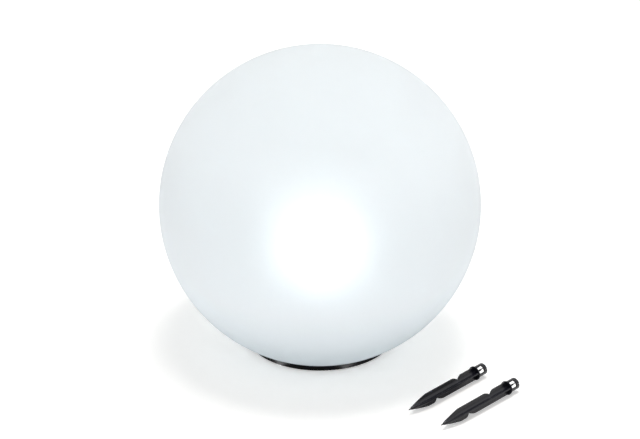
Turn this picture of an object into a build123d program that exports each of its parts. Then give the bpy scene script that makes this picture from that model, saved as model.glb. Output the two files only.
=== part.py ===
from build123d import *
import os
from math import atan2, cos, degrees, radians, sin, sqrt

# Garden globe light: an opal globe on a black base dish, with two loose ground spikes.
# Millimetres. Origin: centre of the base on the ground, +Z up, the front faces -Y.

# ---------------------------------------------------------------- globe
GLOBE_DIAMETER = 400.0
GLOBE_WALL = 2.5
GLOBE_EDGE_LIFT = 0.3

# ---------------------------------------------------------------- base dish
BASE_DIAMETER = 183.0
FOOT_PROUD = 0.6
FLOOR_THICKNESS = 2.5
RIM_WALL = 2.8
RIM_GLOBE_GAP = 0.4
RIM_EDGE_RADIUS = 1.4
RIM_MOUTH_MARGIN = 4.7

# ---------------------------------------------------------------- bayonet neck
NECK_GLUE_GAP = 0.1
NECK_WALL = 3.8
NECK_SEAL_GAP = 0.3
NECK_HEIGHT = 13.3
NECK_FLANGE_WIDTH = 9.0
NECK_FLANGE_THICKNESS = 2.5
NECK_RIBS = 18
NECK_RIB_THICKNESS = 1.6
NECK_RIB_TOP_DROP = 0.8
NECK_RIB_INSET = 1.0
COLLAR_GAP = 0.4
COLLAR_WALL = 2.7
LUG_COUNT = 3
LUG_ARC = 20.0
LUG_HEIGHT = 3.5
LUG_LEVEL = 3.8
LUG_END_PLAY = 0.5
LUG_FACE_PLAY = 0.3
TWIST_ANGLE = 25.0
SEAL_WIDTH = 3.0
SEAL_HEIGHT = 1.3
SEAL_GROOVE = 1.0
SEAL_CROWN_RADIUS = 0.45
SEAL_SIDE_GAP = 0.1

# ---------------------------------------------------------------- foot ring
FOOT_WIDTH = 12.0
FOOT_THICKNESS = 1.6
FOOT_SIDE_GAP = 0.1
FOOT_EDGE_RADIUS = 0.4

# ---------------------------------------------------------------- deck
DECK_SIDE_GAP = 3.0
DECK_WALL = 2.2
DECK_EDGE_RADIUS = 3.0
DECK_SEAL_THICKNESS = 0.8
DECK_SEAL_INSET = 0.1
DECK_RIB_COUNT = 16
DECK_RIB_THICKNESS = 1.4
DECK_RIB_REACH = 5.0
DECK_RIB_STEP = 1.0
DECK_SCREW_INSET = 6.0
DECK_SCREW_ANGLES = (35.0, 145.0, 215.0, 325.0)
DECK_BOSS_RADIUS = 4.2
DECK_PAD_HEIGHT = 2.9
DECK_SCREW_LENGTH = 14.0
CABLE_HOLE_RADIUS = 5.0

# ---------------------------------------------------------------- screws
SCREW_RADIUS = 1.5
SCREW_HEAD_RADIUS = 2.8
SCREW_HEAD_HEIGHT = 1.9
SCREW_HEAD_SINK = 1.3
SCREW_HEAD_GAP = 0.4
SCREW_HEAD_ROUNDING = 0.4
SCREW_BORE_GAP = 0.05
SCREW_PASS_GAP = 0.25
SCREW_TIP_GAP = 1.0
RECESS_LENGTH = 3.0
RECESS_WIDTH = 0.8
RECESS_DEPTH = 1.0

# ---------------------------------------------------------------- solar panel
PANEL_MARGIN = 9.0
PANEL_HOLE_MARGIN = 2.0
PANEL_THICKNESS = 2.2
PANEL_RECESS = 1.2
PANEL_SIDE_GAP = 0.4
CELL_COUNT = 12
CELL_MARGIN = 3.0
CELL_SPACING = 1.6
CELL_THICKNESS = 0.3
PANEL_LEAD_RADIUS = 1.0
PANEL_LEAD_ANGLE = 25.0
PANEL_LEAD_INSET = 5.0
LEAD_HOLE_GAP = 0.3

# ---------------------------------------------------------------- lamp post
POST_RADIUS = 14.0
POST_WALL = 2.0
POST_FLANGE_WIDTH = 7.0
POST_FLANGE_THICKNESS = 3.0
POST_GUSSETS = 3
POST_GUSSET_THICKNESS = 2.0
POST_GUSSET_HEIGHT = 14.0
POST_SCREW_COUNT = 3
POST_SCREW_LENGTH = 6.0
HUB_DEPTH = 2.4

# ---------------------------------------------------------------- lamp
LAMP_DROP = 55.5
CARRIER_RADIUS = 28.0
CARRIER_PLATE = 3.0
CARRIER_SKIRT_WALL = 2.4
CARRIER_SKIRT_DEPTH = 9.0
CARRIER_RIM_HEIGHT = 6.0
CARRIER_RIM_WALL = 2.0
CARRIER_SEAT_GAP = 0.1
CARRIER_FINS = 12
CARRIER_FIN_THICKNESS = 1.6
CARRIER_FIN_STEP = 1.0
LED_BOARD_THICKNESS = 1.6
LED_BOARD_GAP = 0.3
LED_COUNT = 8
LED_EDGE_INSET = 8.5
LED_SIZE = 5.0
LED_HEIGHT = 1.6
LED_LENS_RADIUS = 1.9
LED_LENS_HEIGHT = 0.7
LED_LENS_ROUNDING = 0.55
DIFFUSER_RADIUS = 35.0
DIFFUSER_WALL = 1.5
DIFFUSER_NECK_HEIGHT = 10.3
DIFFUSER_NECK_GAP = 0.2
LED_LEAD_RADIUS = 1.4

# ---------------------------------------------------------------- battery
CELL_RADIUS = 9.2
CELL_LENGTH = 65.0
CELL_NUB_RADIUS = 2.8
CELL_NUB_HEIGHT = 1.0
CELL_EDGE_RADIUS = 0.8
CELL_SADDLE_GAP = 0.3
CELL_DOOR_GAP = 0.8
BAY_END_GAP = 4.6
BAY_SIDE_GAP = 0.8
BAY_ROOF_GAP = 1.0
BAY_WALL = 2.0
BAY_CORNER = 1.0
SADDLE_COUNT = 3
SADDLE_THICKNESS = 2.0
SADDLE_END_MARGIN = 12.5
CONTACT_THICKNESS = 0.4
CONTACT_WIDTH = 11.0
CONTACT_HEIGHT = 13.0
CONTACT_DOME_RADIUS = 3.9
CONTACT_DOME_TOP_RADIUS = 2.2
LEAF_BEND_RADIUS = 1.2
LEAF_BOW = 1.5
LEAF_END_DROP = 2.0
DOOR_END_MARGIN = 11.4
DOOR_SIDE_MARGIN = 5.5
DOOR_CORNER_RADIUS = 6.0
DOOR_THICKNESS = 1.8
DOOR_SEAL_THICKNESS = 0.7
DOOR_SEAL_WIDTH = 1.8
DOOR_SEAL_INSET = 0.5
DOOR_GAP = 0.3
LEDGE_THICKNESS = 2.0
LEDGE_WIDTH = 2.5
DOOR_SCREW_INSET = 3.6
DOOR_SCREW_LENGTH = 5.5
DOOR_SCREW_HEAD_RADIUS = 2.3
DOOR_SCREW_HEAD_HEIGHT = 0.9
DOOR_SCREW_SHANK_RADIUS = 1.1
DOOR_SCREW_BOSS_HEIGHT = 4.5
DOOR_GRIP_COUNT = 5
DOOR_GRIP_SPACING = 3.0
DOOR_GRIP_WIDTH = 1.2
DOOR_GRIP_LENGTH = 16.0
DOOR_GRIP_DEPTH = 0.5
BATTERY_LEAD_RADIUS = 0.8

# ---------------------------------------------------------------- control board
BOARD_LENGTH = 88.0
BOARD_WIDTH = 46.0
BOARD_CORNER_RADIUS = 3.0
BOARD_THICKNESS = 1.6
BOARD_BAY_GAP = 1.8
BOARD_DROP = 6.6
BOARD_BOSS_RADIUS = 3.2
BOARD_BOSS_INSET = 5.0
BOARD_SCREW_LENGTH = 6.0
BOARD_SCREW_HEAD_RADIUS = 2.3
BOARD_SCREW_HEAD_HEIGHT = 1.2
BOARD_SCREW_SHANK_RADIUS = 1.1
CONNECTOR_HEIGHT = 2.6
COMPONENT_GAP = 0.4

# ---------------------------------------------------------------- switch
SWITCH_INSET = 18.0
SWITCH_ANGLE = -50.5
BUTTON_RADIUS = 5.6
BUTTON_GAP = 0.4
BUTTON_RECESS = 0.5
BUTTON_TRAVEL = 2.0
BUTTON_FLANGE_WIDTH = 1.0
BUTTON_FLANGE_THICKNESS = 1.4
BUTTON_SEAT_GAP = 0.1
BUTTON_EDGE_RADIUS = 0.5
BUTTON_DISH_RADIUS = 16.8
BUTTON_STEM_RADIUS = 1.75
BUTTON_STEM_GAP = 0.4
BUTTON_STEM_BITE = 0.6
SWITCH_TUBE_WALL = 2.0
SWITCH_OVERTRAVEL = 0.4
SWITCH_SEAL_THICKNESS = 0.8
SWITCH_RIM_LAP = 1.5
SWITCH_HEIGHT = 6.0
SWITCH_CORNER_RADIUS = 1.5
SWITCH_PIN_COUNT = 2
SWITCH_PIN_SPACING = 6.0
SWITCH_PIN_WIDTH = 1.2
SWITCH_PIN_HEIGHT = 2.5

# ---------------------------------------------------------------- ground spikes
SPIKE_LENGTH = 138.0
SPIKE_BLADE_RADIUS = 8.1
SPIKE_BLADE_THICKNESS = 1.8
SPIKE_ROOT_RADIUS = 3.2
SPIKE_TAPER_LENGTH = 33.0
SPIKE_TAPER_BULGE = 0.35
SPIKE_NIB_LENGTH = 4.4
SPIKE_NIB_RADIUS = 1.0
SPIKE_NIB_END_RADIUS = 0.6
SPIKE_NIB_SHOULDER = 1.6
SPIKE_NOTCH_FLARE = 0.15
SPIKE_NOTCH_ROUNDING = 1.0
SPIKE_LOWER_NOTCH = 48.6
SPIKE_LOWER_NOTCH_DEPTH = 4.4
SPIKE_LOWER_NOTCH_LEAD = 7.6
SPIKE_LOWER_NOTCH_TRAIL = 14.0
SPIKE_UPPER_NOTCH = 90.9
SPIKE_UPPER_NOTCH_DEPTH = 5.0
SPIKE_UPPER_NOTCH_LEAD = 10.6
SPIKE_UPPER_NOTCH_TRAIL = 9.4
SPIKE_COLLAR_PROUD = 0.95
SPIKE_COLLAR_THICKNESS = 1.6
SPIKE_COLLAR_CHAMFER = 0.7
SPIKE_BARREL_LENGTH = 15.4
SPIKE_BARREL_INSET = 0.7
SPIKE_BARREL_WALL = 1.6
SPIKE_WINDOW_ARC = 39.0
SPIKE_WINDOW_LENGTH = 8.8
SPIKE_WINDOW_BAR = 1.2
SPIKE_WINDOW_START = 0.8
SPIKE_WINDOW_ROLL = 66.0
SPIKE_RIM_CHAMFER = 0.8
SPIKE_SLOT_COUNT = 4
SPIKE_SLOT_WIDTH = 0.8
SPIKE_SLOT_DEPTH = 3.2
SPIKE_CORE_RADIUS = 1.1
SPIKE_CORE_LENGTH = 11.0
SPIKE_ROLL = 20.0
SPIKE_AZIMUTH = 46.8
SPIKE_TIPS = ((107.6, -200.8), (145.3, -237.9))

# ---------------------------------------------------------------- spike sockets in the dish
SOCKET_INSET = 20.0
SOCKET_GAP = 0.15
SOCKET_WALL = 2.0
SOCKET_ROOF = 2.0
SOCKET_END_GAP = 1.0
SOCKET_GUSSETS = 4
SOCKET_GUSSET_THICKNESS = 1.6
SOCKET_GUSSET_REACH = 4.0
SOCKET_GUSSET_STEP = 1.0

# ---------------------------------------------------------------- how far solids overlap and cutters overshoot
EPS = 0.01
OVER = 1.0

# ---------------------------------------------------------------- worked-out levels and radii
GLOBE_RADIUS = GLOBE_DIAMETER / 2
GLOBE_INNER_RADIUS = GLOBE_RADIUS - GLOBE_WALL
BASE_RADIUS = BASE_DIAMETER / 2
GLOBE_MOUTH_RADIUS = BASE_RADIUS - RIM_WALL - RIM_MOUTH_MARGIN
UNDERSIDE_Z = FOOT_PROUD
FLOOR_Z = UNDERSIDE_Z + FLOOR_THICKNESS
NECK_OUTER_RADIUS = GLOBE_MOUTH_RADIUS - NECK_GLUE_GAP
NECK_INNER_RADIUS = NECK_OUTER_RADIUS - NECK_WALL
NECK_BOTTOM_Z = FLOOR_Z + SEAL_HEIGHT - SEAL_GROOVE + NECK_SEAL_GAP
NECK_TOP_Z = NECK_BOTTOM_Z + NECK_HEIGHT
GLOBE_EDGE_Z = NECK_BOTTOM_Z + GLOBE_EDGE_LIFT
GLOBE_CENTRE_Z = GLOBE_EDGE_Z + sqrt(GLOBE_RADIUS**2 - GLOBE_MOUTH_RADIUS**2)
COLLAR_OUTER_RADIUS = NECK_INNER_RADIUS - COLLAR_GAP
COLLAR_INNER_RADIUS = COLLAR_OUTER_RADIUS - COLLAR_WALL
LUG_BOTTOM_Z = NECK_BOTTOM_Z + LUG_LEVEL
LUG_TOP_Z = LUG_BOTTOM_Z + LUG_HEIGHT
LUG_INNER_RADIUS = COLLAR_INNER_RADIUS + LUG_FACE_PLAY
SEAL_INNER_RADIUS = (NECK_INNER_RADIUS + NECK_OUTER_RADIUS - SEAL_WIDTH) / 2
DECK_RADIUS = COLLAR_INNER_RADIUS - DECK_SIDE_GAP
FOOT_RADIUS = DECK_RADIUS
FOOT_INNER_RADIUS = FOOT_RADIUS - FOOT_WIDTH
BAY_LENGTH = CELL_LENGTH + CELL_NUB_HEIGHT + 2 * BAY_END_GAP
BAY_WIDTH = 2 * (CELL_RADIUS + BAY_SIDE_GAP)
DOOR_LENGTH = BAY_LENGTH + 2 * DOOR_END_MARGIN
DOOR_WIDTH = BAY_WIDTH + 2 * DOOR_SIDE_MARGIN
DOOR_TOP_Z = UNDERSIDE_Z + DOOR_THICKNESS
LEDGE_Z = DOOR_TOP_Z + DOOR_SEAL_THICKNESS
CELL_Z = DOOR_TOP_Z + CELL_DOOR_GAP + CELL_RADIUS
BAY_ROOF_Z = CELL_Z + CELL_RADIUS + BAY_ROOF_GAP
SADDLE_SPACING = (CELL_LENGTH - 2 * SADDLE_END_MARGIN) / (SADDLE_COUNT - 1)
BOARD_BOTTOM_Z = BAY_ROOF_Z + BAY_WALL + BOARD_BAY_GAP
BOARD_TOP_Z = BOARD_BOTTOM_Z + BOARD_THICKNESS
DECK_UNDER_Z = BOARD_TOP_Z + BOARD_DROP
PANEL_SEAT_Z = DECK_UNDER_Z + DECK_WALL
DECK_TOP_Z = PANEL_SEAT_Z + PANEL_RECESS
DECK_FOOT_Z = FLOOR_Z + DECK_SEAL_THICKNESS
PAD_TOP_Z = FLOOR_Z + DECK_PAD_HEIGHT
DECK_SCREW_RADIUS = FOOT_INNER_RADIUS - DECK_SCREW_INSET
SCREW_SEAT_Z = UNDERSIDE_Z + SCREW_HEAD_SINK + SCREW_HEAD_HEIGHT
POST_FLANGE_RADIUS = POST_RADIUS + POST_FLANGE_WIDTH
POST_FLANGE_TOP_Z = DECK_TOP_Z + POST_FLANGE_THICKNESS
PANEL_RADIUS = DECK_RADIUS - PANEL_MARGIN
PANEL_HOLE_RADIUS = POST_FLANGE_RADIUS + PANEL_HOLE_MARGIN
PANEL_TOP_Z = PANEL_SEAT_Z + PANEL_THICKNESS
DIFFUSER_NECK_RADIUS = CARRIER_RADIUS - CARRIER_RIM_WALL - DIFFUSER_NECK_GAP
DIFFUSER_CENTRE_Z = GLOBE_CENTRE_Z - LAMP_DROP
DIFFUSER_NECK_Z = DIFFUSER_CENTRE_Z - sqrt(DIFFUSER_RADIUS**2 - DIFFUSER_NECK_RADIUS**2)
CARRIER_TOP_Z = DIFFUSER_NECK_Z - DIFFUSER_NECK_HEIGHT
POST_TOP_Z = CARRIER_TOP_Z - CARRIER_PLATE
LED_BOARD_TOP_Z = CARRIER_TOP_Z + LED_BOARD_THICKNESS
LED_BOARD_RADIUS = DIFFUSER_NECK_RADIUS - DIFFUSER_WALL - LED_BOARD_GAP
LED_CIRCLE_RADIUS = LED_BOARD_RADIUS - LED_EDGE_INSET
BUTTON_HOLE_RADIUS = BUTTON_RADIUS + BUTTON_GAP
BUTTON_FLANGE_RADIUS = BUTTON_RADIUS + BUTTON_FLANGE_WIDTH
BUTTON_FLANGE_Z = FLOOR_Z + BUTTON_SEAT_GAP
SWITCH_TUBE_RADIUS = BUTTON_FLANGE_RADIUS + BUTTON_GAP
SWITCH_TUBE_TOP_Z = BUTTON_FLANGE_Z + BUTTON_FLANGE_THICKNESS + BUTTON_TRAVEL + SWITCH_OVERTRAVEL
SWITCH_BODY_Z = SWITCH_TUBE_TOP_Z + SWITCH_SEAL_THICKNESS
SWITCH_SIZE = 2 * (SWITCH_TUBE_RADIUS + SWITCH_RIM_LAP)
SWITCH_PLACE = (
    (FOOT_INNER_RADIUS - SWITCH_INSET) * cos(radians(SWITCH_ANGLE)),
    (FOOT_INNER_RADIUS - SWITCH_INSET) * sin(radians(SWITCH_ANGLE)),
    0,
)
SPIKE_COLLAR_RADIUS = SPIKE_BLADE_RADIUS + SPIKE_COLLAR_PROUD
SPIKE_COLLAR_TOP = SPIKE_LENGTH - SPIKE_BARREL_LENGTH
SPIKE_COLLAR_BOTTOM = SPIKE_COLLAR_TOP - SPIKE_COLLAR_THICKNESS
SPIKE_BARREL_RADIUS = SPIKE_BLADE_RADIUS - SPIKE_BARREL_INSET
SOCKET_PLACE = FOOT_INNER_RADIUS - SOCKET_INSET
SOCKET_BORE_RADIUS = SPIKE_BARREL_RADIUS + SOCKET_GAP
SOCKET_OUTER_RADIUS = SOCKET_BORE_RADIUS + SOCKET_WALL
SOCKET_DEPTH = SPIKE_BARREL_LENGTH + SOCKET_END_GAP
SOCKET_TOP_Z = UNDERSIDE_Z + SOCKET_DEPTH


# ---------------------------------------------------------------- helpers
def disc(radius, low, high):
    """Upright cylinder about the Z axis between two levels."""
    return Pos(0, 0, (low + high) / 2) * Cylinder(radius, high - low)


def ring(outer, inner, low, high):
    """Upright tube about the Z axis between two levels."""
    return disc(outer, low, high) - disc(inner, low - OVER, high + OVER)


def arc_block(outer, inner, low, high, start, sweep):
    """Part of a ring, from the angle start over sweep degrees."""
    section = Plane.XZ * Pos((outer + inner) / 2, (low + high) / 2) * Rectangle(outer - inner, high - low)
    return Rot(0, 0, start) * revolve(section, Axis.Z, sweep)


def around(shape, count, first=0.0):
    """Copies of a shape, evenly spaced about the Z axis."""
    return [Rot(0, 0, first + 360.0 * i / count) * shape for i in range(count)]


def globe_ball(radius):
    """A ball about the globe's centre."""
    return Pos(0, 0, GLOBE_CENTRE_Z) * Sphere(radius)


def plate(length, width, corner, low, high):
    """Flat plate with rounded corners about the Z axis between two levels."""
    return extrude(Pos(0, 0, low) * RectangleRounded(length, width, corner), high - low)


def lathe(points):
    """Solid turned about the Z axis from (radius, height) points."""
    outline = Plane.XZ * make_face(Polyline(*points, close=True))
    return revolve(outline, Axis.Z)


def screw(length, shank_radius, head_radius, head_height):
    """Pan-head screw pointing up, its head's seat at the origin, with a cross recess."""
    head = disc(head_radius, -head_height, 0)
    head = fillet(head.edges().group_by(Axis.Z)[0], head_height * SCREW_HEAD_ROUNDING)
    body = head + disc(shank_radius, -EPS, length)
    for turn in (0, 90):
        body -= Rot(0, 0, turn) * Pos(0, 0, -head_height) * Box(
            RECESS_LENGTH * head_radius / SCREW_HEAD_RADIUS, RECESS_WIDTH, RECESS_DEPTH
        )
    return body


def deck_screw_places():
    """Where the deck's screws stand, seen from above."""
    return [
        (DECK_SCREW_RADIUS * cos(radians(a)), DECK_SCREW_RADIUS * sin(radians(a)))
        for a in DECK_SCREW_ANGLES
    ]


def board_screw_places():
    """Where the control board's screws stand."""
    x = BOARD_LENGTH / 2 - BOARD_BOSS_INSET
    y = BOARD_WIDTH / 2 - BOARD_BOSS_INSET
    return [(sx * x, sy * y) for sx in (1, -1) for sy in (1, -1)]


def post_screw_places():
    """Where the lamp post's screws stand, between its gussets."""
    step = 360.0 / POST_SCREW_COUNT
    reach = (POST_RADIUS + POST_FLANGE_RADIUS) / 2
    angles = [radians(step * (i + 0.5)) for i in range(POST_SCREW_COUNT)]
    return [(reach * cos(a), reach * sin(a)) for a in angles]


def door_screw_places():
    """Where the battery door's screws stand."""
    x = DOOR_LENGTH / 2 - DOOR_SCREW_INSET
    return [(x, 0), (-x, 0)]


# ---------------------------------------------------------------- globe and neck
def make_globe_shell():
    """Thin ball, open below where the neck ring is bonded in."""
    shell = globe_ball(GLOBE_RADIUS) - globe_ball(GLOBE_INNER_RADIUS)
    return shell - disc(GLOBE_MOUTH_RADIUS, GLOBE_CENTRE_Z - GLOBE_RADIUS - OVER, GLOBE_CENTRE_Z)


def make_neck_ring():
    """Bayonet ring: a barrel, a curved glue flange on ribs, and lugs that reach inwards."""
    barrel = ring(NECK_OUTER_RADIUS, NECK_INNER_RADIUS, NECK_BOTTOM_Z, NECK_TOP_Z)
    flange_outer = GLOBE_INNER_RADIUS - NECK_GLUE_GAP
    flange_reach = NECK_OUTER_RADIUS + NECK_FLANGE_WIDTH
    flange = globe_ball(flange_outer) - globe_ball(flange_outer - NECK_FLANGE_THICKNESS)
    flange &= ring(flange_reach, NECK_OUTER_RADIUS - NECK_WALL / 2, 0, GLOBE_CENTRE_Z / 2)
    under = globe_ball(flange_outer - NECK_FLANGE_THICKNESS / 2)
    rib = Pos((NECK_OUTER_RADIUS + flange_reach) / 2 - NECK_RIB_INSET, 0, NECK_TOP_Z / 2) * Box(
        NECK_FLANGE_WIDTH, NECK_RIB_THICKNESS, NECK_TOP_Z - 2 * NECK_RIB_TOP_DROP
    )
    rib &= under
    body = barrel + flange
    body += around(rib, NECK_RIBS)
    lug = arc_block(
        NECK_INNER_RADIUS + NECK_WALL / 2, LUG_INNER_RADIUS, LUG_BOTTOM_Z, LUG_TOP_Z, -LUG_ARC / 2, LUG_ARC
    )
    return body + around(lug, LUG_COUNT)


def make_neck_seal():
    """Ring seal with a crowned top, half sunk in the dish floor."""
    low = FLOOR_Z - SEAL_GROOVE
    outer = SEAL_INNER_RADIUS + SEAL_WIDTH - SEAL_SIDE_GAP
    body = ring(outer, SEAL_INNER_RADIUS + SEAL_SIDE_GAP, low, low + SEAL_HEIGHT)
    return fillet(body.edges().group_by(Axis.Z)[-1], SEAL_CROWN_RADIUS)


# ---------------------------------------------------------------- base dish
def bayonet_slots():
    """L-shaped ways through the collar: down from its top, then round to the locked end."""
    half = LUG_ARC / 2 + LUG_END_PLAY
    low = LUG_BOTTOM_Z - LUG_FACE_PLAY
    high = LUG_TOP_Z + LUG_FACE_PLAY
    inner = COLLAR_INNER_RADIUS - OVER
    outer = COLLAR_OUTER_RADIUS + OVER
    leg = arc_block(outer, inner, low, high, -half, TWIST_ANGLE + 2 * half)
    entry = arc_block(outer, inner, low, NECK_TOP_Z + OVER, TWIST_ANGLE - half, 2 * half)
    return around(leg, LUG_COUNT) + around(entry, LUG_COUNT)


def make_base_dish():
    """Moulded dish: rim, bayonet collar, battery bay, spike sockets, switch tube and screw pads."""
    body = disc(BASE_RADIUS, UNDERSIDE_Z, LUG_TOP_Z)
    body = fillet(body.edges().group_by(Axis.Z)[0], RIM_EDGE_RADIUS)
    body -= disc(BASE_RADIUS - RIM_WALL, FLOOR_Z, LUG_TOP_Z + OVER)
    body -= globe_ball(GLOBE_RADIUS + RIM_GLOBE_GAP)
    body += disc(BASE_RADIUS - RIM_WALL, FLOOR_Z - FLOOR_THICKNESS / 2, FLOOR_Z)
    collar = ring(COLLAR_OUTER_RADIUS, COLLAR_INNER_RADIUS, FLOOR_Z - EPS, NECK_TOP_Z)
    for slot in bayonet_slots():
        collar -= slot
    body += collar

    bay = plate(BAY_LENGTH + 2 * BAY_WALL, BAY_WIDTH + 2 * BAY_WALL, BAY_WALL, FLOOR_Z, BAY_ROOF_Z + BAY_WALL)
    ledge = plate(
        DOOR_LENGTH + 2 * LEDGE_WIDTH,
        DOOR_WIDTH + 2 * LEDGE_WIDTH,
        DOOR_CORNER_RADIUS + LEDGE_WIDTH,
        FLOOR_Z - EPS,
        LEDGE_Z + LEDGE_THICKNESS,
    )
    body += bay
    body += ledge
    for x, y in door_screw_places():
        body += Pos(x, y, 0) * disc(DOOR_SCREW_INSET, LEDGE_Z, LEDGE_Z + DOOR_SCREW_BOSS_HEIGHT)
    for side in (1, -1):
        socket = disc(SOCKET_OUTER_RADIUS, UNDERSIDE_Z, SOCKET_TOP_Z + SOCKET_ROOF)
        socket = fillet(socket.edges().group_by(Axis.Z)[-1], SOCKET_ROOF / 2)
        gusset = Pos(SOCKET_OUTER_RADIUS, 0, (FLOOR_Z + SOCKET_TOP_Z) / 2) * Box(
            2 * SOCKET_GUSSET_REACH, SOCKET_GUSSET_THICKNESS, SOCKET_TOP_Z - FLOOR_Z
        )
        gusset = chamfer(
            gusset.edges().filter_by(Axis.Y).group_by(Axis.Z)[-1].sort_by(Axis.X)[-1],
            SOCKET_TOP_Z - FLOOR_Z - SOCKET_GUSSET_STEP,
            SOCKET_GUSSET_REACH - SOCKET_GUSSET_STEP,
        )
        socket += around(gusset, SOCKET_GUSSETS, 45)
        body += Pos(0, side * SOCKET_PLACE, 0) * socket
    for x, y in deck_screw_places():
        body += Pos(x, y, 0) * disc(DECK_BOSS_RADIUS, FLOOR_Z - EPS, PAD_TOP_Z)
    tube = disc(SWITCH_TUBE_RADIUS + SWITCH_TUBE_WALL, FLOOR_Z - EPS, SWITCH_TUBE_TOP_Z)
    body += Pos(*SWITCH_PLACE) * tube

    body -= plate(BAY_LENGTH, BAY_WIDTH, BAY_CORNER, UNDERSIDE_Z, BAY_ROOF_Z)
    body -= plate(DOOR_LENGTH + 2 * DOOR_GAP, DOOR_WIDTH + 2 * DOOR_GAP, DOOR_CORNER_RADIUS, 0, LEDGE_Z)
    saddle = Pos(0, 0, (CELL_Z + BAY_ROOF_Z + EPS) / 2) * Box(
        SADDLE_THICKNESS, BAY_WIDTH + 2 * EPS, BAY_ROOF_Z + EPS - CELL_Z
    )
    saddle -= Pos(0, 0, CELL_Z) * Rot(0, 90, 0) * Cylinder(
        CELL_RADIUS + CELL_SADDLE_GAP, SADDLE_THICKNESS + OVER
    )
    for i in range(SADDLE_COUNT):
        body += Pos((i - (SADDLE_COUNT - 1) / 2) * SADDLE_SPACING, 0, 0) * saddle
    for x, y in door_screw_places():
        body -= Pos(x, y, 0) * disc(
            DOOR_SCREW_SHANK_RADIUS + SCREW_BORE_GAP,
            LEDGE_Z - OVER,
            UNDERSIDE_Z + DOOR_SCREW_LENGTH + SCREW_TIP_GAP,
        )
    for side in (1, -1):
        body -= Pos(0, side * SOCKET_PLACE, 0) * disc(SOCKET_BORE_RADIUS, 0, SOCKET_TOP_Z)
        body -= Pos(battery_lead_x(side), 0, 0) * disc(
            BATTERY_LEAD_RADIUS + LEAD_HOLE_GAP, BAY_ROOF_Z - OVER, BAY_ROOF_Z + BAY_WALL + OVER
        )
    for x, y in deck_screw_places():
        body -= Pos(x, y, 0) * disc(SCREW_HEAD_RADIUS + SCREW_HEAD_GAP, 0, SCREW_SEAT_Z)
        body -= Pos(x, y, 0) * disc(SCREW_RADIUS + SCREW_PASS_GAP, 0, PAD_TOP_Z + OVER)
    body -= Pos(*SWITCH_PLACE) * disc(BUTTON_HOLE_RADIUS, 0, FLOOR_Z + EPS)
    body -= Pos(*SWITCH_PLACE) * disc(SWITCH_TUBE_RADIUS, FLOOR_Z, SWITCH_TUBE_TOP_Z + OVER)
    body -= ring(SEAL_INNER_RADIUS + SEAL_WIDTH, SEAL_INNER_RADIUS, FLOOR_Z - SEAL_GROOVE, FLOOR_Z + OVER)
    body -= ring(FOOT_RADIUS + FOOT_SIDE_GAP, FOOT_INNER_RADIUS - FOOT_SIDE_GAP, 0, FOOT_THICKNESS)
    return body


def make_foot_ring():
    """Flat rubber ring the light stands on."""
    body = ring(FOOT_RADIUS, FOOT_INNER_RADIUS, 0, FOOT_THICKNESS)
    return fillet(body.edges().group_by(Axis.Z)[0], FOOT_EDGE_RADIUS)


# ---------------------------------------------------------------- deck and solar panel
def make_deck_cover():
    """Inverted cup over the electronics, with ribs inside and a recess for the panel on top."""
    body = disc(DECK_RADIUS, DECK_FOOT_Z, DECK_TOP_Z)
    body = fillet(body.edges().group_by(Axis.Z)[-1], DECK_EDGE_RADIUS)
    body -= disc(DECK_RADIUS - DECK_WALL, DECK_FOOT_Z - OVER, DECK_UNDER_Z)
    half = DECK_RIB_REACH / 2 - EPS
    rib = Pos(DECK_RADIUS - DECK_WALL - half, 0, DECK_UNDER_Z - half)
    rib *= Box(DECK_RIB_REACH, DECK_RIB_THICKNESS, DECK_RIB_REACH)
    rib = chamfer(
        rib.edges().filter_by(Axis.Y).group_by(Axis.Z)[0].sort_by(Axis.X)[0], DECK_RIB_REACH - DECK_RIB_STEP
    )
    body += around(rib, DECK_RIB_COUNT, 180.0 / DECK_RIB_COUNT)
    for x, y in deck_screw_places():
        boss = disc(DECK_BOSS_RADIUS, PAD_TOP_Z, DECK_UNDER_Z + EPS)
        boss -= disc(
            SCREW_RADIUS + SCREW_BORE_GAP, PAD_TOP_Z - OVER, SCREW_SEAT_Z + DECK_SCREW_LENGTH + SCREW_TIP_GAP
        )
        body += Pos(x, y, 0) * boss
    for x, y in board_screw_places():
        body += Pos(x, y, 0) * disc(BOARD_BOSS_RADIUS, BOARD_TOP_Z, DECK_UNDER_Z + EPS)
    body += disc(POST_FLANGE_RADIUS, DECK_UNDER_Z - HUB_DEPTH, DECK_TOP_Z)
    body -= ring(
        PANEL_RADIUS + PANEL_SIDE_GAP, PANEL_HOLE_RADIUS - PANEL_SIDE_GAP, PANEL_SEAT_Z, DECK_TOP_Z + OVER
    )
    body -= disc(CABLE_HOLE_RADIUS, DECK_UNDER_Z - HUB_DEPTH - OVER, DECK_TOP_Z + OVER)
    for x, y in post_screw_places():
        body -= Pos(x, y, 0) * disc(
            SCREW_RADIUS + SCREW_BORE_GAP,
            POST_FLANGE_TOP_Z - POST_SCREW_LENGTH - SCREW_TIP_GAP,
            DECK_TOP_Z + OVER,
        )
    for x, y in board_screw_places():
        body -= Pos(x, y, 0) * disc(
            BOARD_SCREW_SHANK_RADIUS + SCREW_BORE_GAP,
            BOARD_TOP_Z - OVER,
            BOARD_BOTTOM_Z + BOARD_SCREW_LENGTH + SCREW_TIP_GAP / 2,
        )
    return body - Pos(*panel_lead_place(), 0) * disc(
        PANEL_LEAD_RADIUS + LEAD_HOLE_GAP, DECK_UNDER_Z - OVER, PANEL_SEAT_Z + OVER
    )


def make_deck_seal():
    """Flat gasket under the deck cover's wall."""
    outer = DECK_RADIUS - DECK_SEAL_INSET
    return ring(outer, DECK_RADIUS - DECK_WALL + DECK_SEAL_INSET, FLOOR_Z, DECK_FOOT_Z)


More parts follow.
